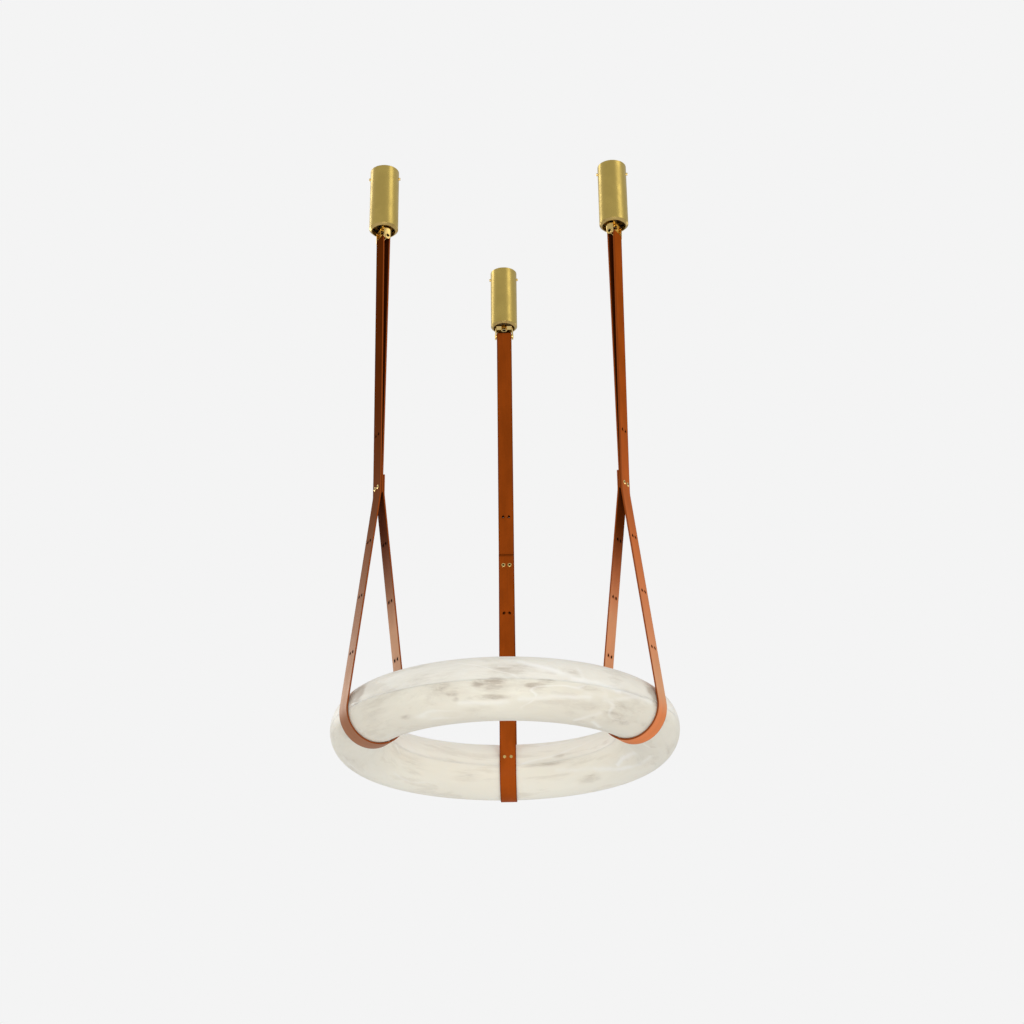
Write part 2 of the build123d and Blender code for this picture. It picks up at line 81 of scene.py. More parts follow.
CIRCLE_RADIUS = middle("core_tube_rear").y
RING_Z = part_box("alabaster_upper")[0].z
TUBE_RADIUS = extent("alabaster_upper").z
COVER_TOP, SLEEVE_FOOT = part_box("canopy_cover_rear")[1].z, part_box("canopy_cover_rear")[0].z
RIM_TOP, RIM_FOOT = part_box("canopy_rim_rear")[1].z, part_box("canopy_rim_rear")[0].z
COVER_RADIUS = extent("canopy_cover_rear").x / 2
PIN_Z = middle("fork_pin_rear").z
PIN_RADIUS = extent("fork_pin_rear").z / 2
PIN_LENGTH = extent("fork_pin_rear").x
JOINT_Z = middle("joint_posts_rear").z
HEAD_RADIUS = extent("joint_posts_rear").z / 2
SCREW_SPACING = extent("joint_posts_rear").x - 2 * HEAD_RADIUS
BOLT_FOOT, BOLT_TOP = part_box("hanger_bolt_rear")[0].z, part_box("hanger_bolt_rear")[1].z
BALL_RADIUS = extent("hanger_bolt_rear").x / 2
BELT_WIDTH = extent("strap_rear").x


def in_place(points, name):
    """Moves points from a suspension's own axes (out, along the tube, up) to the frame's axes."""
    turn = azimuth(name)
    across = np.array([math.cos(turn), math.sin(turn), 0.0])
    along = np.array([-math.sin(turn), math.cos(turn), 0.0])
    up = np.array([0.0, 0.0, 1.0])
    spot = CIRCLE_RADIUS * across
    return points[..., :1] * across + points[..., 1:2] * along + points[..., 2:] * up + spot


# ---- settings ----


def from_screen(red, green, blue):
    """A colour read as 0 to 255 on a screen, as the light that it stands for."""
    share = np.array([red, green, blue]) / 255.0
    return tuple(np.where(share > 0.04045, ((share + 0.055) / 1.055) ** 2.4, share / 12.92))


def shaded(colour, share):
    """A colour made darker."""
    return tuple(channel * share for channel in colour)


def tint(name, description, screen):
    """A colour property with its default given as on a screen."""
    looks = {"name": name, "description": description, "default": from_screen(*screen)}
    return FloatVectorProperty(**looks, subtype="COLOR", size=3, min=0, max=1)


def number(name, description, default, **looks):
    """A number property."""
    return FloatProperty(name=name, description=description, default=default, **looks)


def length(name, description, default):
    """A length property in metres."""
    return number(name, description, default, min=0, unit="LENGTH", precision=5)


class StoneSettings(bpy.types.PropertyGroup):
    """The alabaster ring."""

    wall: length("Wall", "Thickness of the alabaster shells", 0.008)
    seam_chamfer: length("Seam chamfer", "Chamfer along both seam edges", 0.00015)
    # The upper shell's ground is lighter than the lower's: partly its own slab's tone, partly painted light, as
    # if lit from above.
    upper: tint("Upper stone", "Ground colour of the upper shell", (243, 239, 228))
    lower: tint("Lower stone", "Ground colour of the lower shell", (241, 236, 221))
    # Painted light: both shells whiten towards the ring's rear, whose far side the lamps light less.
    fair: tint("Fair stone", "Ground colour that both shells turn to at the rear", (253, 248, 234))
    shade: tint("Shade", "Colour of the soft streaks in the stone", (218, 211, 196))
    # The clouds' colour is also that of the painted shadow beside the left and right belts.
    cloud: tint("Clouds", "Colour of the grey-brown clouds in the stone", (184, 173, 158))
    vein: tint("Veins", "Colour of the pale veins", (255, 253, 247))


class BeltSettings(bpy.types.PropertyGroup):
    """The leather belts."""

    thickness: length("Thickness", "Thickness of the leather", 0.004)
    ply_gap: length("Ply gap", "Space between plies that lie on each other", 0.0003)
    lap_above: length("Lap above", "Overlap above the joint screws", 0.030)
    lap_below: length("Lap below", "Overlap below the joint screws", 0.016)
    bend: length("Bend radius", "Radius where the belt leaves the joint", 0.060)
    edge_round: length("Edge rounding", "Rounding of the cut edges", 0.0013)
    hole_pitch: length("Hole pitch", "Distance between the spare rows of holes", 0.138)
    hole_radius: length("Hole radius", "Radius of the spare holes", 0.0025)
    leather: tint("Leather", "Colour of the leather's faces", (150, 68, 16))
    burnish: tint("Burnish", "Colour of the burnished edges", (142, 68, 26))
    # Painted sheen: the pale colour that the lower leather turns to in place of a grazing reflection.
    bloom: tint("Bloom", "Colour of the wax that blooms on the lower leather", (214, 166, 127))


class BrassSettings(bpy.types.PropertyGroup):
    """The brass pieces."""

    wall: length("Cover wall", "Wall of the canopy covers", 0.002)
    rim_opening: length("Rim opening", "Radius of the cover's opening", 0.029)
    edge: length("Edge softening", "Softening of machined edges", 0.0005)
    satin: tint("Satin brass", "Colour of the brushed covers", (204, 178, 98))
    polished: tint("Polished brass", "Colour of the polished pieces", (240, 206, 128))


class StageSettings(bpy.types.PropertyGroup):
    """The camera and the studio."""

    yaw: number("Yaw", "Bearing from +Y towards +X", -0.018199, subtype="ANGLE")
    pitch: number("Pitch", "Camera tilt above level", 0.41582, subtype="ANGLE")
    roll: number("Roll", "Camera roll", -0.011812, subtype="ANGLE")
    place: FloatVectorProperty(
        name="Camera place",
        description="Where it stands",
        default=(0.09289, -3.90167, -2.59737),
        unit="LENGTH",
    )
    lens: number("Lens", "Focal length", 61.93, min=1.0)
    floor_z: number("Floor", "Height of the floor", -4.6, unit="LENGTH")
    floor_size: length("Floor size", "Side of the floor", 400.0)
    backdrop: tint("Backdrop", "Colour behind the pendant", (244, 244, 244))
    ambient: number("Ambient", "Strength of the even light", 0.79, min=0.0)
    mirrored: number("Mirrored", "Its strength in mirror rays", 0.66, min=0.0)


def settings(group):
    """One group of settings of the open scene."""
    return getattr(bpy.context.scene, f"pendant_{group}")


# ---- surfaces ----


def skin(points, close_rows, close_columns):
    """The quads over a grid of points, with a direction that closes joined to its start."""
    rows, columns = points.shape[:2]
    index = np.arange(rows * columns).reshape(rows, columns)
    if close_rows:
        index = np.vstack([index, index[:1]])
    if close_columns:
        index = np.hstack([index, index[:, :1]])
    quads = np.stack([index[:-1, :-1], index[:-1, 1:], index[1:, 1:], index[1:, :-1]], axis=-1)
    return points.reshape(-1, 3), quads.reshape(-1, 4)


def joined(surfaces):
    """Several surfaces as one."""
    starts = np.cumsum([0] + [len(points) for points, _ in surfaces[:-1]])
    quads = [faces + start for (_, faces), start in zip(surfaces, starts)]
    return np.vstack([points for points, _ in surfaces]), np.vstack(quads)


def eased(corners, ease, closed=True, steps=4):
    """An outline with rounded corners. From A to B, which lie the easing length from corner C on its two
    sides, it follows (1-s)^2 A + 2s(1-s) C + s^2 B. An open outline keeps its two ends. Further columns
    of a corner, such as a mark, are carried along."""
    corners = np.asarray(corners, float)
    here = corners[:, :2]
    back = np.roll(here, 1, axis=0) - here
    onward = np.roll(here, -1, axis=0) - here
    back_length = np.linalg.norm(back, axis=1, keepdims=True)
    onward_length = np.linalg.norm(onward, axis=1, keepdims=True)
    reach = np.minimum(ease, 0.45 * np.minimum(back_length, onward_length))
    start = (here + back / back_length * reach)[:, None]
    end = (here + onward / onward_length * reach)[:, None]
    s = np.linspace(0.0, 1.0, steps + 1)[None, :, None]
    curve = (1 - s) ** 2 * start + 2 * s * (1 - s) * here[:, None] + s**2 * end
    marks = np.repeat(corners[:, None, 2:], steps + 1, axis=1)
    curve = np.concatenate([curve, marks], axis=2)
    if closed:
        return curve.reshape(-1, corners.shape[1])
    return np.vstack([corners[:1], curve[1:-1].reshape(-1, corners.shape[1]), corners[-1:]])


# What an outline's third column says: a hexagonal socket with soil and painted shade, or soil and painted shade
# alone.
HEXAGON, SOIL_AND_SHADE = 1.0, 0.4
SMOOTH_ANGLE = 40.0  # degrees above which an edge stays sharp
SAME_POINT = 1e-6  # metres within which points are merged
PATTERN_MAP = "Belt"


def turned(outline, segments=96, closed=True):
    """A turned surface: an outline point (r, h) goes round the axis as (r cos t, r sin t, h). Where the
    third column says HEXAGON, r is multiplied by cos 30 / cos(t mod 60 - 30), a hexagon's side."""
    turn = np.linspace(0.0, 2 * np.pi, segments, endpoint=False)
    radius = np.repeat(outline[:, :1], segments, axis=1)
    if outline.shape[1] > 2:
        flats = np.cos(np.pi / 6) / np.cos(np.mod(turn, np.pi / 3) - np.pi / 6)
        radius = np.where(outline[:, 2:] == HEXAGON, radius * flats, radius)
    height = np.broadcast_to(outline[:, 1:2], radius.shape)
    points = np.stack([radius * np.cos(turn), radius * np.sin(turn), height], axis=-1)
    return skin(points, closed, True)


def soil(outline, segments, copies=1):
    """How much soil and painted shade the points of a turned surface take: fully where the third column marks a
    hexagon or soil and painted shade.
    """
    return np.tile(np.repeat(outline[:, 2] > SOIL_AND_SHADE / 2, segments), copies)


def aimed(surface, axis, place):
    """A turned surface laid with its axis along X, -X or Y, then moved to a place."""
    points, quads = surface
    x, y, z = points.T
    turned_to = {"x": (z, y, -x), "-x": (-z, y, x), "y": (x, z, -y)}[axis]
    return np.stack(turned_to, axis=1) + np.asarray(place), quads


def stepped(values, start, reach):
    """A smooth step 3s^2 - 2s^3 of values, with s going from 0 at the start to 1 at the reach from it."""
    share = np.clip((values - start) / reach, 0.0, 1.0)
    return share**2 * (3.0 - 2.0 * share)


def new_mesh(name, points, faces, smooth_angle=SMOOTH_ANGLE, pattern=None, **marks):
    """A mesh from arrays with its marks, and the pattern's coordinates where it has them, its poles and
    seams merged and its faces turned outwards."""
    mesh = bpy.data.meshes.new(name)
    mesh.from_pydata(points, [], faces.tolist())
    if pattern is not None:
        layer = mesh.uv_layers.new(name=PATTERN_MAP)
        layer.data.foreach_set("uv", pattern.reshape(-1, 2)[faces.ravel()].ravel())
    marked(mesh, marks)
    work = bmesh.new()
    work.from_mesh(mesh)
    bmesh.ops.remove_doubles(work, verts=work.verts, dist=SAME_POINT)
    bmesh.ops.recalc_face_normals(work, faces=work.faces)
    work.to_mesh(mesh)
    work.free()
    smooth(mesh, smooth_angle)
    return mesh


def marked(mesh, marks):
    """Puts marks, one number per point, on a mesh."""
    for label, values in marks.items():
        layer = mesh.attributes.new(label, "FLOAT", "POINT")
        layer.data.foreach_set("value", values.ravel().astype(np.float32))


def smooth(mesh, angle):
    """Smooth shading, with edges sharper than the angle kept sharp."""
    mesh.polygons.foreach_set("use_smooth", np.ones(len(mesh.polygons), bool))
    mesh.set_sharp_from_angle(angle=math.radians(angle))


def show(name, mesh, body, slot, look, node):
    """Links a piece, gives it its finish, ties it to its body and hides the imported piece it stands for."""
    obj = bpy.data.objects.new(name, mesh)
    bpy.context.scene.collection.objects.link(obj)
    dress(mesh, look)
    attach(obj, body)
    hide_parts(node)
    return obj


def dress(mesh, look):
    """Gives a mesh a finish in place of its old one."""
    mesh.materials.clear()
    mesh.materials.append(finish(look))


def hang(label, surface, body, slot, look, node, **marks):
    """A surface on all three suspensions, each copy standing for its suspension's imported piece."""
    points, quads = surface
    for name in SUSPENSIONS:
        mesh = new_mesh(f"{label}_{name}", in_place(points, name), quads, **marks)
        show(f"{label}_{name}", mesh, body.format(name), slot, look, f"{node}_{name}")


def final_mesh(obj):
    """The mesh that an object's modifiers make, in place of its old one."""
    bpy.context.view_layer.update()
    made = bpy.data.meshes.new_from_object(obj.evaluated_get(bpy.context.evaluated_depsgraph_get()))
    obj.modifiers.clear()
    obj.data = made
    return made


# ---- materials ----


class Wiring:
    """Places and links the nodes of one tree."""

    def __init__(self, tree):
        self.tree = tree

    def node(self, kind, inputs=None, **settings_):
        """A node with its own settings; an input is a value or the output that feeds it."""
        made = self.tree.nodes.new(kind)
        for key, value in settings_.items():
            setattr(made, key, value)
        for key, value in (inputs or {}).items():
            self.feed(made.inputs[key], value)
        return made

    def feed(self, socket, value):
        """Links an output to a socket, or sets the socket's own value."""
        if isinstance(value, bpy.types.NodeSocket):
            self.tree.links.new(value, socket)
        else:
            socket.default_value = value

    def maths(self, operation, *values):
        """One sum, product or the like."""
        return self.node("ShaderNodeMath", dict(enumerate(values)), operation=operation).outputs[0]

    def times(self, first, second):
        """A product."""
        return self.maths("MULTIPLY", first, second)

    def vector(self, operation, first, second):
        """A sum of vectors, or a vector scaled by a number."""
        key = "Scale" if operation == "SCALE" else 1
        return self.node("ShaderNodeVectorMath", {0: first, key: second}, operation=operation).outputs[0]

    def blend(self, share, first, second):
        """Two colours mixed by a share."""
        made = self.node("ShaderNodeMix", data_type="RGBA", clamp_factor=True)
        for index, value in ((0, share), (6, first), (7, second)):
            colour = isinstance(value, tuple) and len(value) == 3
            self.feed(made.inputs[index], (*value, 1.0) if colour else value)
        return made.outputs[2]

    def ramp(self, value, low, high, to_low=0.0, to_high=1.0):
        """A smooth step of a value from one range to another."""
        made = self.node(
            "ShaderNodeMapRange",
            {"Value": value, "From Min": low, "From Max": high, "To Min": to_low, "To Max": to_high},
            interpolation_type="SMOOTHSTEP",
        )
        return made.outputs["Result"]

    def noise(self, vector, scale, detail=3.0, roughness=0.5, part="Fac"):
        """Soft noise."""
        inputs = {"Vector": vector, "Scale": scale, "Detail": detail, "Roughness": roughness}
        return self.node("ShaderNodeTexNoise", inputs).outputs[part]

    def stretched(self, vector, scale, shift=(0.0, 0.0, 0.0)):
        """A pattern space scaled along its axes and shifted."""
        inputs = {"Vector": vector, "Scale": scale, "Location": shift}
        return self.node("ShaderNodeMapping", inputs).outputs[0]

    def mark(self, name, part="Fac"):
        """A mark of the mesh."""
        return self.node("ShaderNodeAttribute", attribute_name=name).outputs[part]

    def place(self):
        """The point in the object's own axes."""
        return self.node("ShaderNodeTexCoord").outputs["Object"]

    def bump(self, height, strength, distance):
        """A normal from a height."""
        inputs = {"Height": height, "Strength": strength, "Distance": distance}
        return self.node("ShaderNodeBump", inputs).outputs[0]

    def effect(self, build, **inputs):
        """A shared effect, with this material's own values."""
        made = self.node("ShaderNodeGroup", node_tree=effect_group(build))
        for key, value in inputs.items():
            self.feed(made.inputs[key], value)
        return made.outputs


def hand_wear(wiring, entry):
    """Fine brushing along one direction and broad uneven handling, for every metal piece."""
    lines = wiring.noise(wiring.stretched(entry["Vector"], entry["Brushing"]), 1.0, 2.0)
    broad = wiring.noise(entry["Vector"], 22.0, 3.0, 0.55)
    return wiring.ramp(broad, 0.35, 0.65), wiring.ramp(lines, 0.3, 0.7)


def moulded_skin(wiring, entry):
    """The faint orange-peel texture and tone drift of moulded and cast soft goods."""
    drift = wiring.noise(entry["Vector"], 30.0, 2.0)
    return wiring.ramp(drift, 0.3, 0.7), wiring.noise(entry["Vector"], entry["Scale"], 2.0)


def cloudy_stone(wiring, entry):
    """Streaks along the ring, drift in tone, thin pale veins and grain for both alabaster shells."""
    place = wiring.stretched(entry["Flow"], (1.0, 1.0, 1.0), entry["Slab"])
    warp = wiring.vector("SUBTRACT", wiring.noise(place, 9.0, part="Color"), (0.5, 0.5, 0.5))
    warped = wiring.vector("ADD", place, wiring.vector("SCALE", warp, 0.06))
    drift = wiring.noise(warped, 7.0)
    streaks = wiring.noise(wiring.stretched(warped, (1.0, 1.0, 1.3)), 21.0, 6.0, 0.66)
    fibres = wiring.noise(wiring.stretched(warped, (1.0, 1.0, 2.0)), 62.0, 4.0, 0.65)
    crease = wiring.noise(warped, 8.0, 2.0, 0.4)
    distance = wiring.maths("ABSOLUTE", wiring.maths("SUBTRACT", crease, 0.5))
    vein = wiring.ramp(distance, 0.0, 0.012, 1.0, 0.0)
    broken = wiring.ramp(wiring.noise(place, 11.0, 2.0), 0.48, 0.62)
    steps = ((drift, 0.40, 0.68), (streaks, 0.36, 0.70), (fibres, 0.32, 0.68))
    soft = [wiring.ramp(*step) for step in steps]
    return *soft, wiring.times(vein, broken), wiring.noise(entry["Vector"], 420.0)


# Each shared effect's inputs, whose defaults give their kinds, and its outputs, which are all numbers.
POINT = (0.0, 0.0, 0.0)
EFFECTS = {
    hand_wear: ({"Vector": POINT, "Brushing": (300.0, 300.0, 3000.0)}, ("Handling", "Lines")),
    moulded_skin: ({"Vector": POINT, "Scale": 900.0}, ("Drift", "Peel")),
    cloudy_stone: (
        {"Vector": POINT, "Flow": POINT, "Slab": POINT},
        ("Drift", "Streaks", "Fibres", "Veins", "Grain"),
    ),
}


def effect_group(build):
    """The node group of a shared effect, built once. Its builder gets the wiring and the input sockets,
    and returns the outputs in order."""
    name = build.__name__.replace("_", " ").capitalize()
    if name in bpy.data.node_groups:
        return bpy.data.node_groups[name]
    tree = bpy.data.node_groups.new(name, "ShaderNodeTree")
    inputs, outputs = EFFECTS[build]
    for label, default in inputs.items():
        kind = "NodeSocketFloat" if isinstance(default, float) else "NodeSocketVector"
        tree.interface.new_socket(label, in_out="INPUT", socket_type=kind).default_value = default
    for label in outputs:
        tree.interface.new_socket(label, in_out="OUTPUT", socket_type="NodeSocketFloat")
    entry = tree.nodes.new("NodeGroupInput")
    leave = tree.nodes.new("NodeGroupOutput")
    for socket, value in zip(leave.inputs, build(Wiring(tree), entry.outputs)):
        tree.links.new(value, socket)
    return tree


# Sockets and drilled recesses are darkened to this share: soil and painted shade.
SOIL_AND_SHADE_SHARE = 0.12  # of a metal's colour, left in its sockets


def metal(wiring, colour, share, handled, clean_rough, rough, brushing, anisotropic=0.0):
    """A metal with brushing lines, handling marks and dark soil with painted shade in its sockets. Its colour
    is a brass setting's, or as on a screen, times a share that is kept: less on the rims, painted shade on the
    closing discs."""
    named = isinstance(colour, str)
    colour = shaded(getattr(settings("brass"), colour) if named else from_screen(*colour), share)
    wear = wiring.effect(hand_wear, Vector=wiring.place(), Brushing=brushing)
    tone = wiring.blend(wear["Handling"], shaded(colour, handled), colour)
    return {
        # Soil and painted shade darken the sockets and drilled ends.
        "Base Color": wiring.blend(wiring.mark("soil"), tone, shaded(colour, SOIL_AND_SHADE_SHARE)),
        "Roughness": wiring.ramp(wear["Handling"], 0.0, 1.0, rough, clean_rough),
        "Normal": wiring.bump(wear["Lines"], 0.06, 0.0002),
        "Metallic": 1.0,
        "Anisotropic": anisotropic,
    }


def moulded(wiring, screen, drift, rough, scale, depth):
    """A moulded plastic, rubber or silicone."""
    colour = from_screen(*screen)
    look = wiring.effect(moulded_skin, Vector=wiring.place(), Scale=scale)
    return {
        "Base Color": wiring.blend(look["Drift"], shaded(colour, drift), colour),
        "Roughness": wiring.ramp(look["Drift"], 0.0, 1.0, rough * 0.9, rough * 1.1),
        "Normal": wiring.bump(look["Peel"], 0.2, depth),
    }


def alabaster(wiring, part, slab):
    """Honed alabaster: ivory ground, grey-brown clouds, painted shadow beside two belts, painted light towards
    the rear, pale veins and light that sinks in a little.
    """
    stone = settings("stone")
    shade = tuple(stone.shade)
    flow = wiring.mark("flow", "Vector")
    look = wiring.effect(cloudy_stone, Vector=wiring.place(), Flow=flow, Slab=slab)
    torn = wiring.maths("ADD", wiring.times(look["Fibres"], 0.6), look["Streaks"])
    # The cloud mark also carries two painted shadows on the stone beside the left and right belts.
    ragged = wiring.times(wiring.mark("gathered"), wiring.maths("MULTIPLY_ADD", torn, 0.85, 0.22))
    cloud = wiring.times(wiring.ramp(ragged, 0.02, 1.10), 0.92)
    wisps = wiring.ramp(look["Streaks"], 0.45, 1.0, 0.0, 0.23)
    lit = wiring.times(wiring.mark("pale"), wiring.maths("MULTIPLY_ADD", look["Streaks"], 0.7, 0.5))
    pale = wiring.maths("MAXIMUM", lit, wiring.times(look["Veins"], 0.4))
    tone = wiring.blend(wiring.times(look["Drift"], 0.50), tuple(getattr(stone, part)), shade)
    tone = wiring.blend(wiring.times(look["Fibres"], 0.16), tone, shade)
    # Painted light: the stone turns whiter towards the rear.
    tone = wiring.blend(wiring.times(wiring.mark("fair"), 0.5), tone, tuple(stone.fair))
    tone = wiring.blend(wiring.maths("MAXIMUM", cloud, wisps), tone, tuple(stone.cloud))
    return {
        "Base Color": wiring.blend(pale, tone, tuple(stone.vein)),
        "Roughness": wiring.ramp(look["Streaks"], 0.0, 1.0, 0.40, 0.50),
        "Normal": wiring.bump(look["Grain"], 0.05, 0.0002),
        "Specular IOR Level": 0.3,
        "Subsurface Weight": 0.3,
        "Subsurface Radius": (1.0, 0.85, 0.7),
        "Subsurface Scale": 0.012,
    }


def leather(wiring):
    """Smooth tanned leather: fine pores, streaks along the belt, burnished cut edges."""
    belt = settings("belt")
    face, edge = tuple(belt.leather), tuple(belt.burnish)
    crease = shaded(edge, 0.6)
    surface = wiring.node("ShaderNodeUVMap", uv_map=PATTERN_MAP).outputs[0]
    streak = wiring.noise(wiring.stretched(surface, (260.0, 5.0, 1.0)), 1.0, 4.0, 0.6)
    mottle = wiring.noise(wiring.stretched(surface, (26.0, 9.0, 1.0)), 1.0, 4.0, 0.6)
    pores = wiring.node("ShaderNodeTexVoronoi", {"Vector": surface, "Scale": 1100.0}).outputs["Distance"]
    tone = wiring.blend(wiring.ramp(mottle, 0.3, 0.72), shaded(face, 0.78), face)
    tone = wiring.blend(wiring.ramp(streak, 0.35, 0.8, 0.0, 0.25), tone, crease)
    tone = wiring.blend(wiring.ramp(pores, 0.05, 0.35, 0.2, 0.0), tone, crease)
    # The depth mark carries painted light and shade: each belt's lighter or darker tone, the paler lower end,
    # the flesh side's shadow under the joint and the shadow at the ply ends.
    tone = wiring.vector("SCALE", tone, wiring.mark("depth"))
    # Painted sheen: the lower leather is blended towards a pale reflected colour.
    tone = wiring.blend(wiring.mark("bloom"), tone, tuple(belt.bloom))
    relief = wiring.maths("ADD", pores, wiring.times(streak, 0.5))
    return {
        "Base Color": wiring.blend(wiring.mark("burnish"), tone, edge),
        "Roughness": wiring.ramp(mottle, 0.3, 0.7, 0.50, 0.38),
        "Normal": wiring.bump(relief, 0.22, 0.0002),
        "Specular IOR Level": wiring.mark("gloss"),
    }


def plain(_):
    """An even matt finish in the backdrop's colour."""
    return {"Base Color": (*settings("stage").backdrop, 1.0), "Roughness": 0.9}


# Each finish's kind and its own values. For a metal they are its colour, the share of it that is kept (less
# on the rims, painted shade on the closing discs), the share left where it was handled, the roughness where
# clean and where handled, the brushing along each axis and the anisotropy; for a moulded piece its colour, the
# share left where it drifts, its roughness and the scale and depth of its skin; for the stone its shell and
# where its slab was cut.
FINISHES = {
    "Satin brass": (metal, "satin", 1.0, 0.90, 0.27, 0.35, (160.0, 160.0, 5200.0), 0.35),
    "Polished brass": (metal, "polished", 1.0, 0.80, 0.14, 0.24, (700.0, 700.0, 1500.0)),
    "Rim brass": (metal, "polished", 0.66, 0.80, 0.16, 0.26, (700.0, 700.0, 1500.0)),
    # Painted shade: the closing discs are a darkened copy of polished brass, standing for the shade in the
    # cover's recess.
    "Disc brass": (metal, "polished", 0.3, 0.80, 0.28, 0.38, (700.0, 700.0, 1500.0)),
    "Plated steel": (metal, (196, 196, 192), 1.0, 0.84, 0.32, 0.48, (900.0, 900.0, 900.0)),
    "Mill aluminium": (metal, (208, 208, 210), 1.0, 0.90, 0.30, 0.42, (300.0, 300.0, 4000.0)),
    "White plastic": (moulded, (226, 225, 220), 0.93, 0.45, 1400.0, 0.0001),
    "Black rubber": (moulded, (38, 37, 36), 0.8, 0.7, 2200.0, 0.0001),
    "Diffuser silicone": (moulded, (240, 236, 222), 0.97, 0.5, 1200.0, 0.00005),
    "Alabaster upper": (alabaster, "upper", (0.35, 0.1, 0.0)),
    "Alabaster lower": (alabaster, "lower", (1.7, 2.3, 0.9)),
    "Belt leather": (leather,),
    "Pale floor": (plain,),
}


def finish(name):
    """The material of a finish, made when it is first asked for."""
    material = bpy.data.materials.get(name)
    if material is None:
        material = bpy.data.materials.new(name)
        material.use_nodes = True
        shader = material.node_tree.nodes["Principled BSDF"]
        wiring = Wiring(material.node_tree)
        kind, *values = FINISHES[name]
        for label, value in kind(wiring, *values).items():
            wiring.feed(shader.inputs[label], value)
    return material


# ---- the alabaster ring ----

RING_SEGMENTS, OUTER_POINTS, INNER_POINTS = 720, 84, 14
CLOUD_SPREAD = 1.7

# Where the stone's clouds lie, and two painted shadows beside the left and right belts: bearing round the ring,
# bearing round the tube from its outer seam, half sizes along both, all in degrees, and depth.
CLOUDS_AND_STRAP_SHADOWS = (
    (-93.5, -12, 6.5, 15, 0.42), (-79, -9, 5.5, 11, 0.42), (-106.5, -16, 5.5, 14, 0.4),
    (-50, -44, 7.5, 22, 0.45), (112.6, -155, 7, 11, 0.45), (66, -178, 12, 7, 0.45),
    (-96.6, -7.5, 2, 7.5, 0.85), (-92, -5, 3.4, 5.5, 1), (-92.5, -15, 3, 6, 0.75),
    (-93.5, -33, 5.2, 4.6, 0.9), (-108.2, -8, 3.2, 6.5, 0.8), (-104.9, -22, 2.4, 5, 0.7),
    (-103.9, -33, 1, 4.5, 0.6), (-96.7, -55, 3.6, 7, 0.4), (-122.9, -53, 2, 4.5, 0.65),
    (-128.4, -10, 6, 8, 0.4), (-135, -26, 5.5, 18, 0.38), (-123, 2, 7, 4.5, 0.45), (-112, 16, 8, 10, 0.36),
    (-86.3, 21, 6.5, 15, 0.52), (112.6, -155.5, 4.2, 6.5, 0.85), (146, -143, 8, 5.5, 0.42),
    (147, -161, 11, 14, 0.36), (-76.1, -2.5, 2.6, 3.2, 1), (-79.2, -12, 3, 5.6, 0.9),
    (-67.6, 17.5, 3.2, 10, 0.6), (-62.2, -7, 3, 4.4, 0.75), (-50.7, -28, 3.4, 5.6, 0.75),
    (-50.5, -45, 5.5, 3.6, 0.8), (-46.5, -56, 3.6, 8, 0.78), (-58.1, -62, 1.2, 4, 0.7),
    (-60.7, -41, 5.2, 8, 0.38), (-43.8, 0.5, 7.5, 3.2, 0.6), (-33.3, -48, 3.6, 5, 0.5),
    (70.1, -176, 9.5, 3, 0.95), (62.1, 168.6, 3.4, 4.6, 0.5), (2.5, -111, 9, 6, 0.45),
    # The last entry of this line and the first of the next, by the left and right belts, are painted shadow on
    # the upper shell.
    (46.6, -131, 6.5, 10, 0.55), (-7.1, -55, 7, 6, 0.4), (-143.5, 22, 3.4, 20, 1.4),
    (-32.5, 18, 3.8, 20, 1.4), (27.6, 169.4, 4.6, 4.4, 0.45), (-75.9, -42.5, 4.5, 3.4, 0.35),
    (60, 60, 9, 12, 0.6), (84, 10, 6, 7, 0.75), (118, 30, 8, 6, 0.6), (152, 75, 7, 14, 0.55),
    (-150, 110, 8, 9, 0.5), (-98, 140, 7, 8, 0.65), (-60, 160, 9, 6, 0.6), (-20, 95, 6, 12, 0.6),
    (20, 40, 7, 7, 0.65), (35, 5, 9, 4, 0.6), (100, -60, 8, 7, 0.6), (60, -40, 5, 9, 0.65),
    (-80, -150, 8, 6, 0.6),
)

# Where the pale veins run: bearings round the ring and round the tube at both ends, half width in
# millimetres and strength.
VEINS = (
    (-84, 39, -74, 20, 6.5, 0.75), (-74, 20, -64.5, 4.6, 6.5, 0.75), (-64.5, 4.6, -50.7, -2, 6, 0.66),
    (-50.7, -2, -36, -3, 5.4, 0.46), (-65.3, 33, -64.1, 9, 4.4, 0.56), (41, -148, 15, -116, 6, 0.66),
    (15, -116, -6, -92, 5.4, 0.46), (23.7, -137, 12.2, -141, 5.4, 0.75), (12.2, -141, -5.2, -124, 6, 0.66),
    (-63.5, -76, -56.2, -50, 4.9, 0.46), (-84, -37, -61.6, -23, 4.9, 0.46), (-56, -24, -42, -3, 4.9, 0.38),
    (-103, -41, -88, -43, 5.4, 0.46), (-56.5, -73, -51.6, -86, 4.9, 0.56), (64, -162, 37, -146, 5.4, 0.38),
    (95, 20, 70, 55, 6, 0.66), (160, 40, 135, 80, 6, 0.56), (-120, 150, -95, 110, 5.4, 0.56),
    (5, 70, 40, 110, 6, 0.56),
)


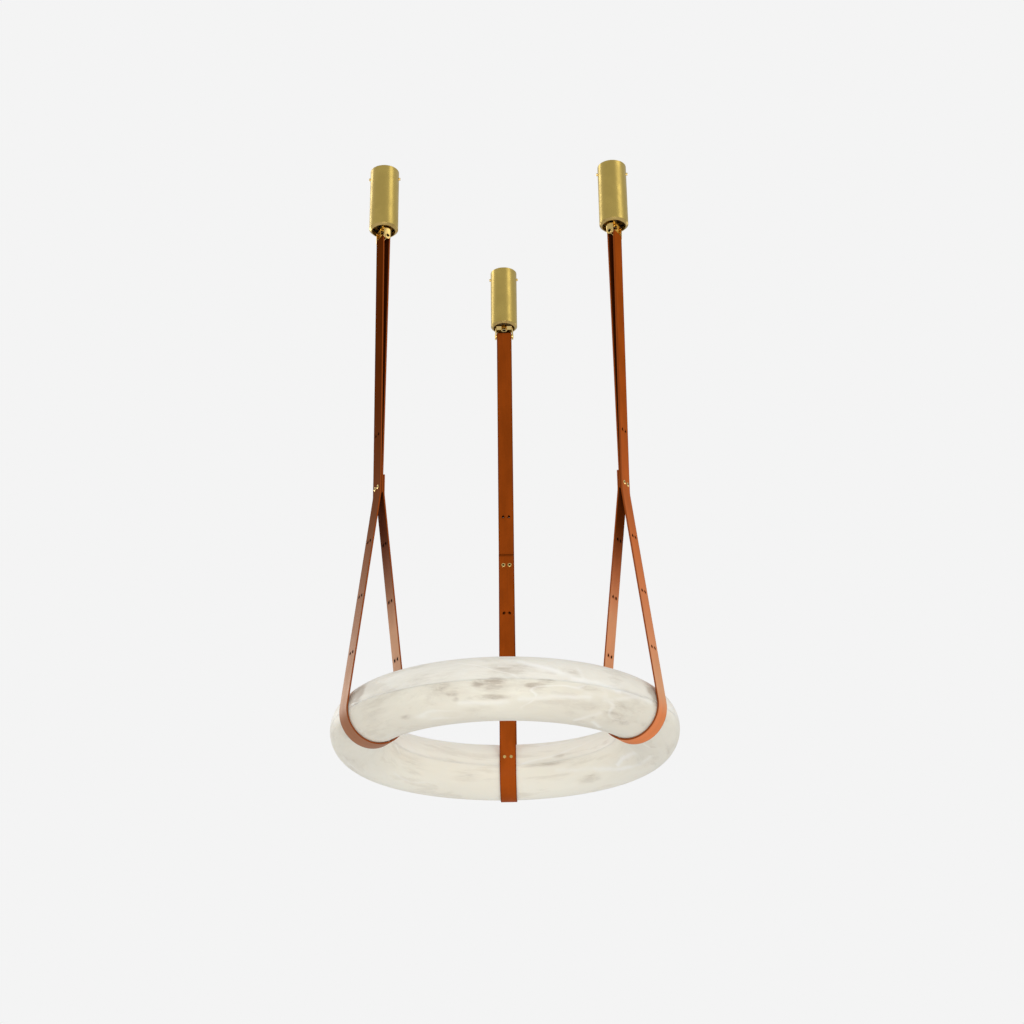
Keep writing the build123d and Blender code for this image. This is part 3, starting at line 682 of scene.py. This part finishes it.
def half_section(side, wall, chamfer):
    """The closed outline of one shell: the outer half circle from seam to seam, a chamfer, the seam's
    flat, the inner half circle back, and the flat and chamfer at the start."""
    outer_start = math.asin(chamfer / TUBE_RADIUS)
    outer = np.linspace(outer_start, np.pi - outer_start, OUTER_POINTS)
    inner = np.linspace(np.pi, 0.0, INNER_POINTS)
    hollow = TUBE_RADIUS - wall
    outside = TUBE_RADIUS * np.stack([np.cos(outer), np.sin(outer)], 1)
    inside = hollow * np.stack([np.cos(inner), np.sin(inner)], 1)
    flat = np.array([[TUBE_RADIUS - chamfer, 0.0]])
    section = np.vstack([flat, outside, -flat, inside])
    return section * [1.0, side]


def ring_bearings(points):
    """Each point's bearing round the ring and round the tube, in degrees, and its distance out."""
    bearing = np.degrees(np.arctan2(points[:, 1], points[:, 0]))
    out = np.hypot(points[:, 0], points[:, 1]) - CIRCLE_RADIUS
    return bearing, np.degrees(np.arctan2(points[:, 2] - RING_Z, out)), out


def turned_by(angle, start):
    """How far an angle is from a start, from -180 to 180 degrees."""
    return (angle - start + 180.0) % 360.0 - 180.0


def gathered_clouds(points):
    """How strongly the listed clouds and the painted shadows beside two belts show at each point: the largest
    of the flattened bells depth exp(-d^3), with d^2 = ((along/length)^2 + (round/width)^2) / CLOUD_SPREAD."""
    bearing, round_tube, _ = ring_bearings(points)
    total = np.zeros(len(points))
    for at, around, long_half, wide_half, depth in CLOUDS_AND_STRAP_SHADOWS:
        along, across = turned_by(bearing, at) / long_half, turned_by(round_tube, around) / wide_half
        total = np.maximum(total, depth * np.exp(-(((along**2 + across**2) / CLOUD_SPREAD) ** 1.5)))
    return total


def pale_veins(points):
    """How strongly the pale veins show: strength exp(-(distance/width)^2), with the distance to the
    vein's line on the unrolled tube, which wanders by two sines of the bearing."""
    bearing, round_tube, _ = ring_bearings(points)
    total = np.zeros(len(points))
    scale = 1000.0 * np.radians(1.0) * np.array([CIRCLE_RADIUS, TUBE_RADIUS])
    for at, around, to, round_to, width, strength in VEINS:
        wander = 0.9 * np.sin(bearing * 0.45) + 0.4 * np.sin(bearing * 1.3)
        spot = np.stack([turned_by(bearing, at), turned_by(round_tube, around) + wander], 1) * scale
        run = np.array([turned_by(to, at), turned_by(round_to, around)]) * scale
        share = np.clip(spot @ run / (run @ run), 0.0, 1.0)[:, None]
        away = np.linalg.norm(spot - share * run, axis=1)
        total = np.maximum(total, strength * np.exp(-((away / width) ** 2)))
    return total


def fair_side(points):
    """How much painted light whitens the stone: a smooth step from the ring's front to its rear."""
    return stepped(points[:, 1], -0.05, 0.30)


def flow_space(points):
    """A pattern space in which the ring is drawn in to a third, so that streaks run along it."""
    bearing, _, out = ring_bearings(points)
    turn, reach = np.radians(bearing), CIRCLE_RADIUS / 3 + out
    return np.stack([reach * np.cos(turn), reach * np.sin(turn), points[:, 2]], 1)


class PENDANT_OT_alabaster(bpy.types.Operator):
    """Makes the two alabaster shells of the ring"""

    bl_idname = "pendant.alabaster"
    bl_label = "Alabaster ring"

    def execute(self, context):
        stone = settings("stone")
        for part, side in (("upper", 1.0), ("lower", -1.0)):
            section = half_section(side, stone.wall, stone.seam_chamfer) + [CIRCLE_RADIUS, RING_Z]
            mesh = new_mesh(f"stone_{part}", *turned(section, RING_SEGMENTS), 60.0)
            points = np.empty(len(mesh.vertices) * 3)
            mesh.vertices.foreach_get("co", points)
            points = points.reshape(-1, 3)
            marks = {"gathered": gathered_clouds, "pale": pale_veins, "fair": fair_side}
            marked(mesh, {label: effect(points) for label, effect in marks.items()})
            flow = mesh.attributes.new("flow", "FLOAT_VECTOR", "POINT")
            flow.data.foreach_set("vector", flow_space(points).ravel())
            show(f"stone_{part}", mesh, "ring", "alabaster", f"Alabaster {part}", f"alabaster_{part}")
        return {"FINISHED"}


# ---- the leather belts ----

# Each belt's depth of colour, painted shade on the left belt and painted light on the right, how much paler its
# lower end is as painted light, how glossy and how much painted sheen it takes there, and how much of its
# colour the flesh side keeps just under the joint, under painted shadow.
BELT_TONES_AND_PAINTED_LIGHT = {
    "rear": (1.0, 0.35, 0.02, 0.0, 0.3),
    "left": (0.35, 1.2, 0.12, 0.80, 0.9),
    "right": (1.18, 1.65, 0.01, 0.95, 0.3),
}
# How many points cross a belt's face and how far in they start, where the burnish ends and over what it
# fades, the border's width and how much darker it is, how far an end is drawn in, to what share, and how
# far and how much painted shadow darkens it where the plies step. Lengths are in metres.
FACE_POINTS, FACE_INSET = 7, 0.003
BURNISHED, BURNISH_FADE = 0.0001, 0.0006
BORDER, BORDER_DARK = 0.002, 0.45
END_ROUND, END_SHRINK, END_SHADE, END_DARK = 0.0006, 0.82, 0.003, 0.6
# The flesh side's depth of colour and painted sheen away from the joint's painted shadow, and the most painted
# sheen that it takes.
FLESH_DEPTH, FLESH_SHEEN, FLESH_LIMIT = 1.3, 2.0, 0.75
PATTERN_SHIFT = 0.1  # between the patterns of the two faces
DRILL_SEGMENTS = 24


def pulley_line(pulleys, step=0.006, turn_step=0.05):
    """The line of a band that runs round directed circles, given as (x, z, bend), with bend positive
    where it turns left. Between two circles the heading is the bearing of the centres less
    asin(change of bend / distance), and each touching point is the centre less bend times the left
    normal. Gives points, headings and lengths."""
    centres, bends = pulleys[:, :2], pulleys[:, 2]
    apart = np.diff(centres, axis=0)
    heading = np.arctan2(apart[:, 1], apart[:, 0]) - np.arcsin(np.diff(bends) / np.hypot(*apart.T))
    full = 2 * np.pi
    turn = np.diff(heading)
    turn = np.where(bends[1:-1] > 0, turn % full, -((-turn) % full))
    points, headings = [], []
    for span, direction in enumerate(heading):
        left = np.array([-math.sin(direction), math.cos(direction)])
        leave = centres[span] - bends[span] * left
        meet = centres[span + 1] - bends[span + 1] * left
        count = max(2, int(np.hypot(*(meet - leave)) / step))
        share = np.linspace(0.0, 1.0, count, endpoint=span == len(heading) - 1)[:, None]
        points.append(leave + share * (meet - leave))
        headings.append(np.full(count, direction))
        if span < len(turn):
            count = max(3, int(abs(turn[span]) / turn_step))
            bend = direction + turn[span] * np.linspace(0.0, 1.0, count, endpoint=False)
            lefts = np.stack([-np.sin(bend), np.cos(bend)], 1)
            points.append(centres[span + 1] - bends[span + 1] * lefts)
            headings.append(bend)
    points, headings = np.vstack(points), np.concatenate(headings)
    run = np.concatenate([[0.0], np.cumsum(np.hypot(*np.diff(points, axis=0).T))])
    return points, headings, run


def belt_pulleys(name):
    """The circles that a belt runs round: lap end, joint, pin, joint, joint, tube, joint, lap end."""
    belt = settings("belt")
    pitch = belt.thickness + belt.ply_gap
    outer, inward = pitch / 2, -pitch / 2
    innermost = inward - pitch
    top, foot = JOINT_Z + belt.lap_above, JOINT_Z - belt.lap_below
    pin_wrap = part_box(f"strap_{name}")[1].z - PIN_Z - belt.thickness / 2
    low = RING_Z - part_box(f"strap_{name}")[0].z
    bow = (BELT_WIDTH / 2) ** 2 / (2 * (CIRCLE_RADIUS - TUBE_RADIUS))
    tube_wrap = low + bow / 2 - belt.thickness / 2
    return np.array(
        [
            (inward, foot, 0.0),
            (inward - belt.bend, top, belt.bend),
            (0.0, PIN_Z, -pin_wrap),
            (outer + belt.bend, top, belt.bend),
            (outer + belt.bend, foot, belt.bend),
            (-bow / 2, RING_Z + bow / 2, -tube_wrap),
            (innermost - belt.bend, foot, belt.bend),
            (innermost, top, 0.0),
        ]
    )


def belt_section():
    """A belt's cross-section: a rectangle with rounded edges, more points near the edges, how burnished
    each point is and how dark its border is."""
    belt = settings("belt")
    wide, thick = BELT_WIDTH / 2, belt.thickness / 2
    corners = eased([(wide, -thick), (wide, thick), (-wide, thick), (-wide, -thick)], belt.edge_round)
    fill = np.linspace(-wide + FACE_INSET, wide - FACE_INSET, FACE_POINTS)
    top = np.stack([fill[::-1], np.full(FACE_POINTS, thick)], 1)
    under = np.stack([fill, np.full(FACE_POINTS, -thick)], 1)
    right, left = np.split(corners, 2)
    section = np.vstack([right, top, left, under])
    from_edge = wide - np.abs(section[:, 0])
    burnish = np.clip(1.0 - (from_edge - BURNISHED) / BURNISH_FADE, 0.0, 1.0)
    return section, burnish, 1.0 - BORDER_DARK * (from_edge < BORDER)


def belt_surface(name):
    """The belt: its section carried along the line, as (x, z) = line + offset times the left normal,
    with both ends drawn in and closed. Also gives the pattern's coordinates and the marks: burnish,
    depth of colour, painted light and shade, which falls at the borders, by painted shadow on the flesh side
    towards the joint and by a painted shadow exp(-(distance/END_SHADE)^2) at the ends, and otherwise grows as
    (fall from the pin / whole fall)^2.5 as painted light, gloss, which grows as its ninth power, and painted
    sheen, which grows as its fourth power, is stronger on the flesh side and fades to four tenths under the
    tube as painted shade."""
    points, headings, run = pulley_line(belt_pulleys(name))
    section, burnish, border = belt_section()
    order = np.concatenate([[0, 0], np.arange(len(run)), [len(run) - 1, len(run) - 1]])
    shrink = np.concatenate([[0.0, END_SHRINK], np.ones(len(run)), [END_SHRINK, 0.0]])
    along = np.concatenate([[0.0, 0.0, END_ROUND], np.zeros(len(run) - 2), [-END_ROUND, 0.0, 0.0]])
    line, heading, run = points[order], headings[order], run[order]
    forward = np.stack([np.cos(heading), np.sin(heading)], 1)
    left = np.stack([-np.sin(heading), np.cos(heading)], 1)
    offset = shrink[:, None] * section[None, :, 1]
    across = shrink[:, None] * section[None, :, 0]
    x = line[:, :1] + along[:, None] * forward[:, :1] + offset * left[:, :1]
    z = line[:, 1:] + along[:, None] * forward[:, 1:] + offset * left[:, 1:]
    grid = in_place(np.stack([x, across, z], axis=-1), name)
    pattern = np.stack([across + PATTERN_SHIFT * (offset > 0), np.broadcast_to(run[:, None], across.shape)], -1)
    tone, painted_lower_light, wax, bloom, joint_shade_kept = BELT_TONES_AND_PAINTED_LIGHT[name]
    low = np.clip((PIN_Z - z) / (PIN_Z - RING_Z), 0.0, 1.0)
    to_end = np.minimum(run, run[-1] - run)[:, None]
    above = np.clip(0.65 + 0.35 * (z - RING_Z) / (0.5 * TUBE_RADIUS), 0.4, 1.0)
    # The flesh side is painted in shadow just under the joint, and painted lighter further down.
    clear_of_joint = stepped((JOINT_Z - z) / (JOINT_Z - RING_Z), 0.15, 0.55)
    inside = offset < 0.0
    flesh_shade = np.where(inside, joint_shade_kept + (FLESH_DEPTH - joint_shade_kept) * clear_of_joint, 1.0)
    sheen_share = np.where(inside, FLESH_SHEEN * clear_of_joint, 1.0)
    limit = np.where(inside, FLESH_LIMIT, 1.0)
    # Painted shadow on the leather near each ply end, where the plies step.
    shaded_end = 1.0 - END_DARK * np.exp(-((to_end / END_SHADE) ** 2))
    # Painted light and shade: depth holds each belt's lit or shaded tone, the paler lower end and the painted
    # shadows; the last mark is painted sheen.
    marks = {
        "burnish": np.broadcast_to(burnish, across.shape),
        "depth": tone * (1.0 + painted_lower_light * low**2.5) * border * flesh_shade * shaded_end,
        "gloss": wax * low**9,
        "bloom": np.minimum(bloom * low**4 * above * sheen_share, limit),
    }
    return grid, pattern, marks


def drilled(obj, drills):
    """Cuts the drills out of a piece."""
    tool = bpy.data.objects.new("drill", new_mesh("drill", *drills))
    bpy.context.scene.collection.objects.link(tool)
    cut = obj.modifiers.new("holes", "BOOLEAN")
    cut.object, cut.operation, cut.solver = tool, "DIFFERENCE", "EXACT"
    mesh = final_mesh(obj)
    bpy.data.objects.remove(tool)
    return mesh


def spare_holes(name):
    """Rods along X through both branches at every spare row of holes."""
    belt = settings("belt")
    radius, reach = belt.hole_radius, 2 * TUBE_RADIUS
    outline = np.array([(0, -reach), (radius, -reach), (radius, reach), (0, reach)])
    rod = turned(outline, DRILL_SEGMENTS, False)
    rows = [JOINT_Z + row * belt.hole_pitch for row in (1, -1, -2, -3)]
    places = [(0.0, side * SCREW_SPACING / 2, z) for side in (-1, 1) for z in rows]
    points, quads = joined([aimed(rod, "x", place) for place in places])
    return in_place(points, name), quads


class PENDANT_OT_belts(bpy.types.Operator):
    """Makes the three leather belts with their holes"""

    bl_idname = "pendant.belts"
    bl_label = "Leather belts"

    def execute(self, context):
        for name in SUSPENSIONS:
            label, body = f"leather_belt_{name}", f"{name}_hanger"
            grid, pattern, marks = belt_surface(name)
            mesh = new_mesh(label, *skin(grid, False, True), pattern=pattern, **marks)
            obj = show(label, mesh, body, "tan_leather", "Belt leather", f"strap_{name}")
            smooth(drilled(obj, spare_holes(name)), SMOOTH_ANGLE)
        return {"FINISHED"}


# ---- the brass pieces ----

POLISHED = ("polished_brass", "Polished brass")  # slot and finish
COVER_SEGMENTS, PIN_SEGMENTS, HEAD_SEGMENTS = 128, 72, 48
SPIGOT_PLAY = 0.00005  # metres between a rim's spigot and its sleeve
FORK_ANGLE = 35.0  # degrees above which a fork's edge is softened
FLAT_ANGLE = 0.5  # degrees within which two faces are one
# In metres: a head's height, the rounding of its edges, and the radii of its post and socket.
HEAD_HEIGHT, HEAD_EASE, POST_RADIUS, SOCKET_RADIUS = 0.0018, 0.0004, 0.003, 0.0023


def sleeve_outline():
    """The satin sleeve of a cover: a plain tube."""
    brass = settings("brass")
    bore = COVER_RADIUS - brass.wall
    outside = [(COVER_RADIUS, COVER_TOP), (COVER_RADIUS, SLEEVE_FOOT)]
    return eased([*outside, (bore, SLEEVE_FOOT), (bore, COVER_TOP)], brass.edge)


def rim_outline():
    """The polished rim under it: a chamfered foot, the round opening and a spigot inside the sleeve."""
    brass = settings("brass")
    spigot = COVER_RADIUS - brass.wall - SPIGOT_PLAY
    corners = [
        (COVER_RADIUS, SLEEVE_FOOT),
        (COVER_RADIUS - (SLEEVE_FOOT - RIM_FOOT), RIM_FOOT),
        (brass.rim_opening, RIM_FOOT),
        (brass.rim_opening, RIM_TOP),
        (spigot, RIM_TOP),
        (spigot, SLEEVE_FOOT),
    ]
    return eased(corners, brass.edge)


class PENDANT_OT_covers(bpy.types.Operator):
    """Makes the three canopy covers: a satin sleeve and a polished rim each"""

    bl_idname = "pendant.covers"
    bl_label = "Canopy covers"

    def execute(self, context):
        sleeve, rim = turned(sleeve_outline(), COVER_SEGMENTS), turned(rim_outline(), COVER_SEGMENTS)
        hang("satin_sleeve", sleeve, "{}_cover", "brushed_brass", "Satin brass", "canopy_cover")
        hang("polished_rim", rim, "{}_cover", "polished_brass", "Rim brass", "canopy_rim")
        return {"FINISHED"}


def merged_copy(node, name):
    """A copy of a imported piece, with its loose triangles merged into faces."""
    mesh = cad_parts[node].data.copy()
    mesh.name = name
    work = bmesh.new()
    work.from_mesh(mesh)
    bmesh.ops.remove_doubles(work, verts=work.verts, dist=2 * SAME_POINT)
    flat = math.radians(FLAT_ANGLE)
    bmesh.ops.dissolve_limit(work, angle_limit=flat, verts=work.verts, edges=work.edges)
    work.to_mesh(mesh)
    work.free()
    return mesh


class PENDANT_OT_forks(bpy.types.Operator):
    """Makes the three forks with softened edges"""

    bl_idname = "pendant.forks"
    bl_label = "Forks"

    def execute(self, context):
        for name in SUSPENSIONS:
            label, body = f"polished_fork_{name}", f"{name}_hanger"
            mesh = merged_copy(f"fork_{name}", label)
            obj = show(label, mesh, body, *POLISHED, f"fork_{name}")
            soften = obj.modifiers.new("edges", "BEVEL")
            soften.width, soften.segments, soften.limit_method = settings("brass").edge, 2, "ANGLE"
            soften.angle_limit = math.radians(FORK_ANGLE)
            smooth(final_mesh(obj), FORK_ANGLE)
        return {"FINISHED"}


def pin_outline():
    """The cross pin: drilled ends and chamfered rims."""
    half, drill, depth, chamfer, ease = PIN_LENGTH / 2, 0.0034, 0.005, 0.0006, 0.00015
    right = [
        (0.0, half - depth, SOIL_AND_SHADE),
        (drill, half - depth, SOIL_AND_SHADE),
        (drill, half, SOIL_AND_SHADE),
        (PIN_RADIUS - chamfer, half, 0.0),
        (PIN_RADIUS, half - chamfer, 0.0),
    ]
    outline = right + [(radius, -height, mark) for radius, height, mark in right[::-1]]
    return eased(outline, ease, False, 2)


def bolt_outline():
    """The hanger bolt: socket, skirt, ball and shank. The ball's outline is an arc up to the shank."""
    socket, depth, skirt, shank = 0.004, 0.0035, 0.003, 0.004
    ball_z = BOLT_FOOT + skirt
    lean = np.linspace(0.0, math.acos(shank / BALL_RADIUS), 12)
    ball = [(BALL_RADIUS * math.cos(a), ball_z + BALL_RADIUS * math.sin(a), 0.0) for a in lean]
    outline = [
        (0.0, BOLT_FOOT + depth, HEXAGON),
        (socket, BOLT_FOOT + depth, HEXAGON),
        (socket, BOLT_FOOT, HEXAGON),
        (BALL_RADIUS, BOLT_FOOT, 0.0),
        *ball,
        (shank, BOLT_TOP, 0.0),
        (0.0, BOLT_TOP, 0.0),
    ]
    return eased(outline, HEAD_EASE, False, 3)


def headed(head_radius, head, shank_radius, shank, socket):
    """A domed head on a shank, with its underside at height 0. The dome falls by half its height as
    (r/R)^2, and the hexagonal socket ends below the underside."""
    share = np.linspace(socket / head_radius, 1.0, 5)
    dome = [(head_radius * part, head * (1.0 - 0.5 * part**2), 0.0) for part in share[1:]]
    outline = [
        (0.0, -head / 2, HEXAGON),
        (socket, -head / 2, HEXAGON),
        (socket, head * (1.0 - 0.5 * share[0] ** 2), HEXAGON),
        *dome,
        (head_radius, 0.0, 0.0),
        (shank_radius, 0.0, 0.0),
        (shank_radius, -shank, 0.0),
        (0.0, -shank, 0.0),
    ]
    return eased(outline, HEAD_EASE, False, 3)


class PENDANT_OT_pins(bpy.types.Operator):
    """Makes the cross pins and the hanger bolts"""

    bl_idname = "pendant.pins"
    bl_label = "Pins and hanger bolts"

    def execute(self, context):
        outline = pin_outline()
        marks = soil(outline, PIN_SEGMENTS)
        pin = aimed(turned(outline, PIN_SEGMENTS, False), "y", (0.0, 0.0, PIN_Z))
        hang("drilled_pin", pin, "{}_hanger", *POLISHED, "fork_pin", soil=marks)
        outline = bolt_outline()
        marks = soil(outline, PIN_SEGMENTS)
        bolt = turned(outline, PIN_SEGMENTS, False)
        hang("ball_bolt", bolt, "ceiling_mounts", *POLISHED, "hanger_bolt", soil=marks)
        return {"FINISHED"}


class PENDANT_OT_fasteners(bpy.types.Operator):
    """Makes the belt posts and their screws"""

    bl_idname = "pendant.fasteners"
    bl_label = "Belt fasteners"

    def execute(self, context):
        belt = settings("belt")
        pitch, half = belt.thickness + belt.ply_gap, belt.thickness / 2
        stack = 2 * pitch + belt.thickness
        outline = headed(HEAD_RADIUS, HEAD_HEIGHT, POST_RADIUS, stack, SOCKET_RADIUS)
        fastener = turned(outline, HEAD_SEGMENTS, False)
        for label, axis, x, node in (
            ("barrel_posts", "x", pitch / 2 + half, "joint_posts"),
            ("socket_screws", "-x", -1.5 * pitch - half, "joint_screws"),
        ):
            places = [(x, side * SCREW_SPACING / 2, JOINT_Z) for side in (-1, 1)]
            pair = joined([aimed(fastener, axis, place) for place in places])
            marks = soil(outline, HEAD_SEGMENTS, len(places))
            hang(label, pair, "{}_hanger", *POLISHED, node, soil=marks)
        return {"FINISHED"}


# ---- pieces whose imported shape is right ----

# The starts of the kept pieces' names, by finish.
KEPT = {
    "Plated steel": ("ceiling_plate", "core_tube", "lock_nut"),
    "Disc brass": ("closing_disc",),
    "Polished brass": ("cover_screws", "loop_rivets", "inlet_bush"),
    "Mill aluminium": ("light_frame", "frame_brackets"),
    "Black rubber": ("frame_pads", "cable_grommet"),
    "Diffuser silicone": ("led_strip",),
    "White plastic": ("led_driver", "terminal_block"),
}


class PENDANT_OT_inner_works(bpy.types.Operator):
    """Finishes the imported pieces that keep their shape"""

    bl_idname = "pendant.inner_works"
    bl_label = "Inner works and small pieces"

    def execute(self, context):
        for name, starts in KEPT.items():
            for node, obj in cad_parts.items():
                if node.startswith(starts):
                    dress(obj.data, name)
        return {"FINISHED"}


# ---- the stage ----

SENSOR_WIDTH = 36.0  # millimetres
CENTRE, TOP = (0.0, 0.0, -0.9), (0.0, 0.0, -0.2)
# Each lamp's place, what it points at, its sides, power and colour.
LAMPS = {
    "front": ((0.3, -3.6, -2.6), CENTRE, (2.0, 1.2), 40.0, (1.0, 0.98, 0.95)),
    "side": ((2.7, -1.9, 1.7), TOP, (1.6, 2.6), 14.0, (1.0, 0.97, 0.93)),
    "edge": ((-2.6, 1.5, 1.9), TOP, (1.2, 1.6), 12.0, (1.0, 0.98, 0.95)),
    "rim_left": ((-2.7, 1.7, -0.2), CENTRE, (1.5, 1.5), 26.0, (1.0, 0.98, 0.97)),
    "rim_right": ((2.9, 1.7, -0.2), CENTRE, (1.5, 1.5), 13.0, (1.0, 0.98, 0.97)),
}


def lamp(name, place, aim, size, power, colour):
    """A soft rectangular lamp that points at a place."""
    data = bpy.data.lights.new(name, "AREA")
    data.shape = "RECTANGLE"
    data.size, data.size_y = size
    data.energy = power
    data.color = colour
    obj = bpy.data.objects.new(name, data)
    bpy.context.scene.collection.objects.link(obj)
    obj.location = place
    obj.rotation_mode = "QUATERNION"
    obj.rotation_quaternion = (Vector(aim) - Vector(place)).to_track_quat("-Z", "Y")


def studio_world(backdrop, ambient, mirrored):
    """Even light of the ambient strength, another in mirror rays; the camera sees the backdrop's colour."""
    world = bpy.data.worlds.new("Studio")
    world.use_nodes = True
    wiring = Wiring(world.node_tree)
    for node in list(world.node_tree.nodes):
        world.node_tree.nodes.remove(node)
    path = wiring.node("ShaderNodeLightPath").outputs
    indirect = wiring.ramp(path["Is Glossy Ray"], 0.0, 1.0, ambient, mirrored)
    strength = wiring.ramp(path["Is Camera Ray"], 0.0, 1.0, indirect, 1.0)
    looks = {"Color": (*backdrop, 1.0), "Strength": strength}
    background = wiring.node("ShaderNodeBackground", looks)
    wiring.node("ShaderNodeOutputWorld", {"Surface": background.outputs[0]})
    bpy.context.scene.world = world


class PENDANT_OT_stage(bpy.types.Operator):
    """Makes the floor, the lamps, the world and the camera"""

    bl_idname = "pendant.stage"
    bl_label = "Stage"

    def execute(self, context):
        stage = settings("stage")
        half = stage.floor_size / 2
        corners = np.array([(-half, -half), (half, -half), (half, half), (-half, half)])
        points = np.column_stack([corners, np.full(4, stage.floor_z)])
        mesh = bpy.data.meshes.new("floor")
        mesh.from_pydata(points, [], [(0, 1, 2, 3)])
        floor = bpy.data.objects.new("floor", mesh)
        context.scene.collection.objects.link(floor)
        dress(mesh, "Pale floor")
        for name, looks in LAMPS.items():
            lamp(name, *looks)
        studio_world(stage.backdrop, stage.ambient, stage.mirrored)
        data = bpy.data.cameras.new("camera")
        data.sensor_width = SENSOR_WIDTH
        data.lens = stage.lens
        camera = bpy.data.objects.new("camera", data)
        context.scene.collection.objects.link(camera)
        sin, cos, yaw, pitch, roll = math.sin, math.cos, stage.yaw, stage.pitch, stage.roll
        forward = Vector((sin(yaw) * cos(pitch), cos(yaw) * cos(pitch), sin(pitch)))
        level = Vector((cos(yaw), -sin(yaw), 0.0))
        over = level.cross(forward)
        right = level * cos(roll) + over * sin(roll)
        up = over * cos(roll) - level * sin(roll)
        turn = Matrix((right, up, -forward)).transposed().to_4x4()
        camera.matrix_world = Matrix.Translation(stage.place) @ turn
        context.scene.camera = camera
        context.scene.view_settings.view_transform = "Standard"
        return {"FINISHED"}


class PENDANT_PT_panel(bpy.types.Panel):
    """Lists the operators and the sizes"""

    bl_idname = "PENDANT_PT_panel"
    bl_label = "Ring pendant"
    bl_space_type = "VIEW_3D"
    bl_region_type = "UI"
    bl_category = "Pendant"

    def draw(self, context):
        for operator in OPERATORS:
            self.layout.operator(operator.bl_idname)
        for group in GROUPS:
            box = self.layout.box()
            box.label(text=group.capitalize())
            values = settings(group)
            for key in values.bl_rna.properties.keys():
                if key not in ("rna_type", "name"):
                    box.prop(values, key)


GROUPS = {"stone": StoneSettings, "belt": BeltSettings, "brass": BrassSettings, "stage": StageSettings}
OPERATORS = (
    PENDANT_OT_alabaster,
    PENDANT_OT_belts,
    PENDANT_OT_covers,
    PENDANT_OT_forks,
    PENDANT_OT_pins,
    PENDANT_OT_fasteners,
    PENDANT_OT_inner_works,
    PENDANT_OT_stage,
)


def register():
    """Adds the classes and the scene's settings."""
    for group in (*GROUPS.values(), *OPERATORS, PENDANT_PT_panel):
        bpy.utils.register_class(group)
    for name, group in GROUPS.items():
        setattr(bpy.types.Scene, f"pendant_{name}", PointerProperty(type=group))


def unregister():
    """Takes them away again."""
    for name in GROUPS:
        delattr(bpy.types.Scene, f"pendant_{name}")
    for group in (PENDANT_PT_panel, *OPERATORS[::-1], *list(GROUPS.values())[::-1]):
        bpy.utils.unregister_class(group)


def main():
    """Builds everything in order."""
    register()
    for operator in OPERATORS:
        family, action = operator.bl_idname.split(".")
        getattr(getattr(bpy.ops, family), action)()


if __name__ == "__main__":
    main()
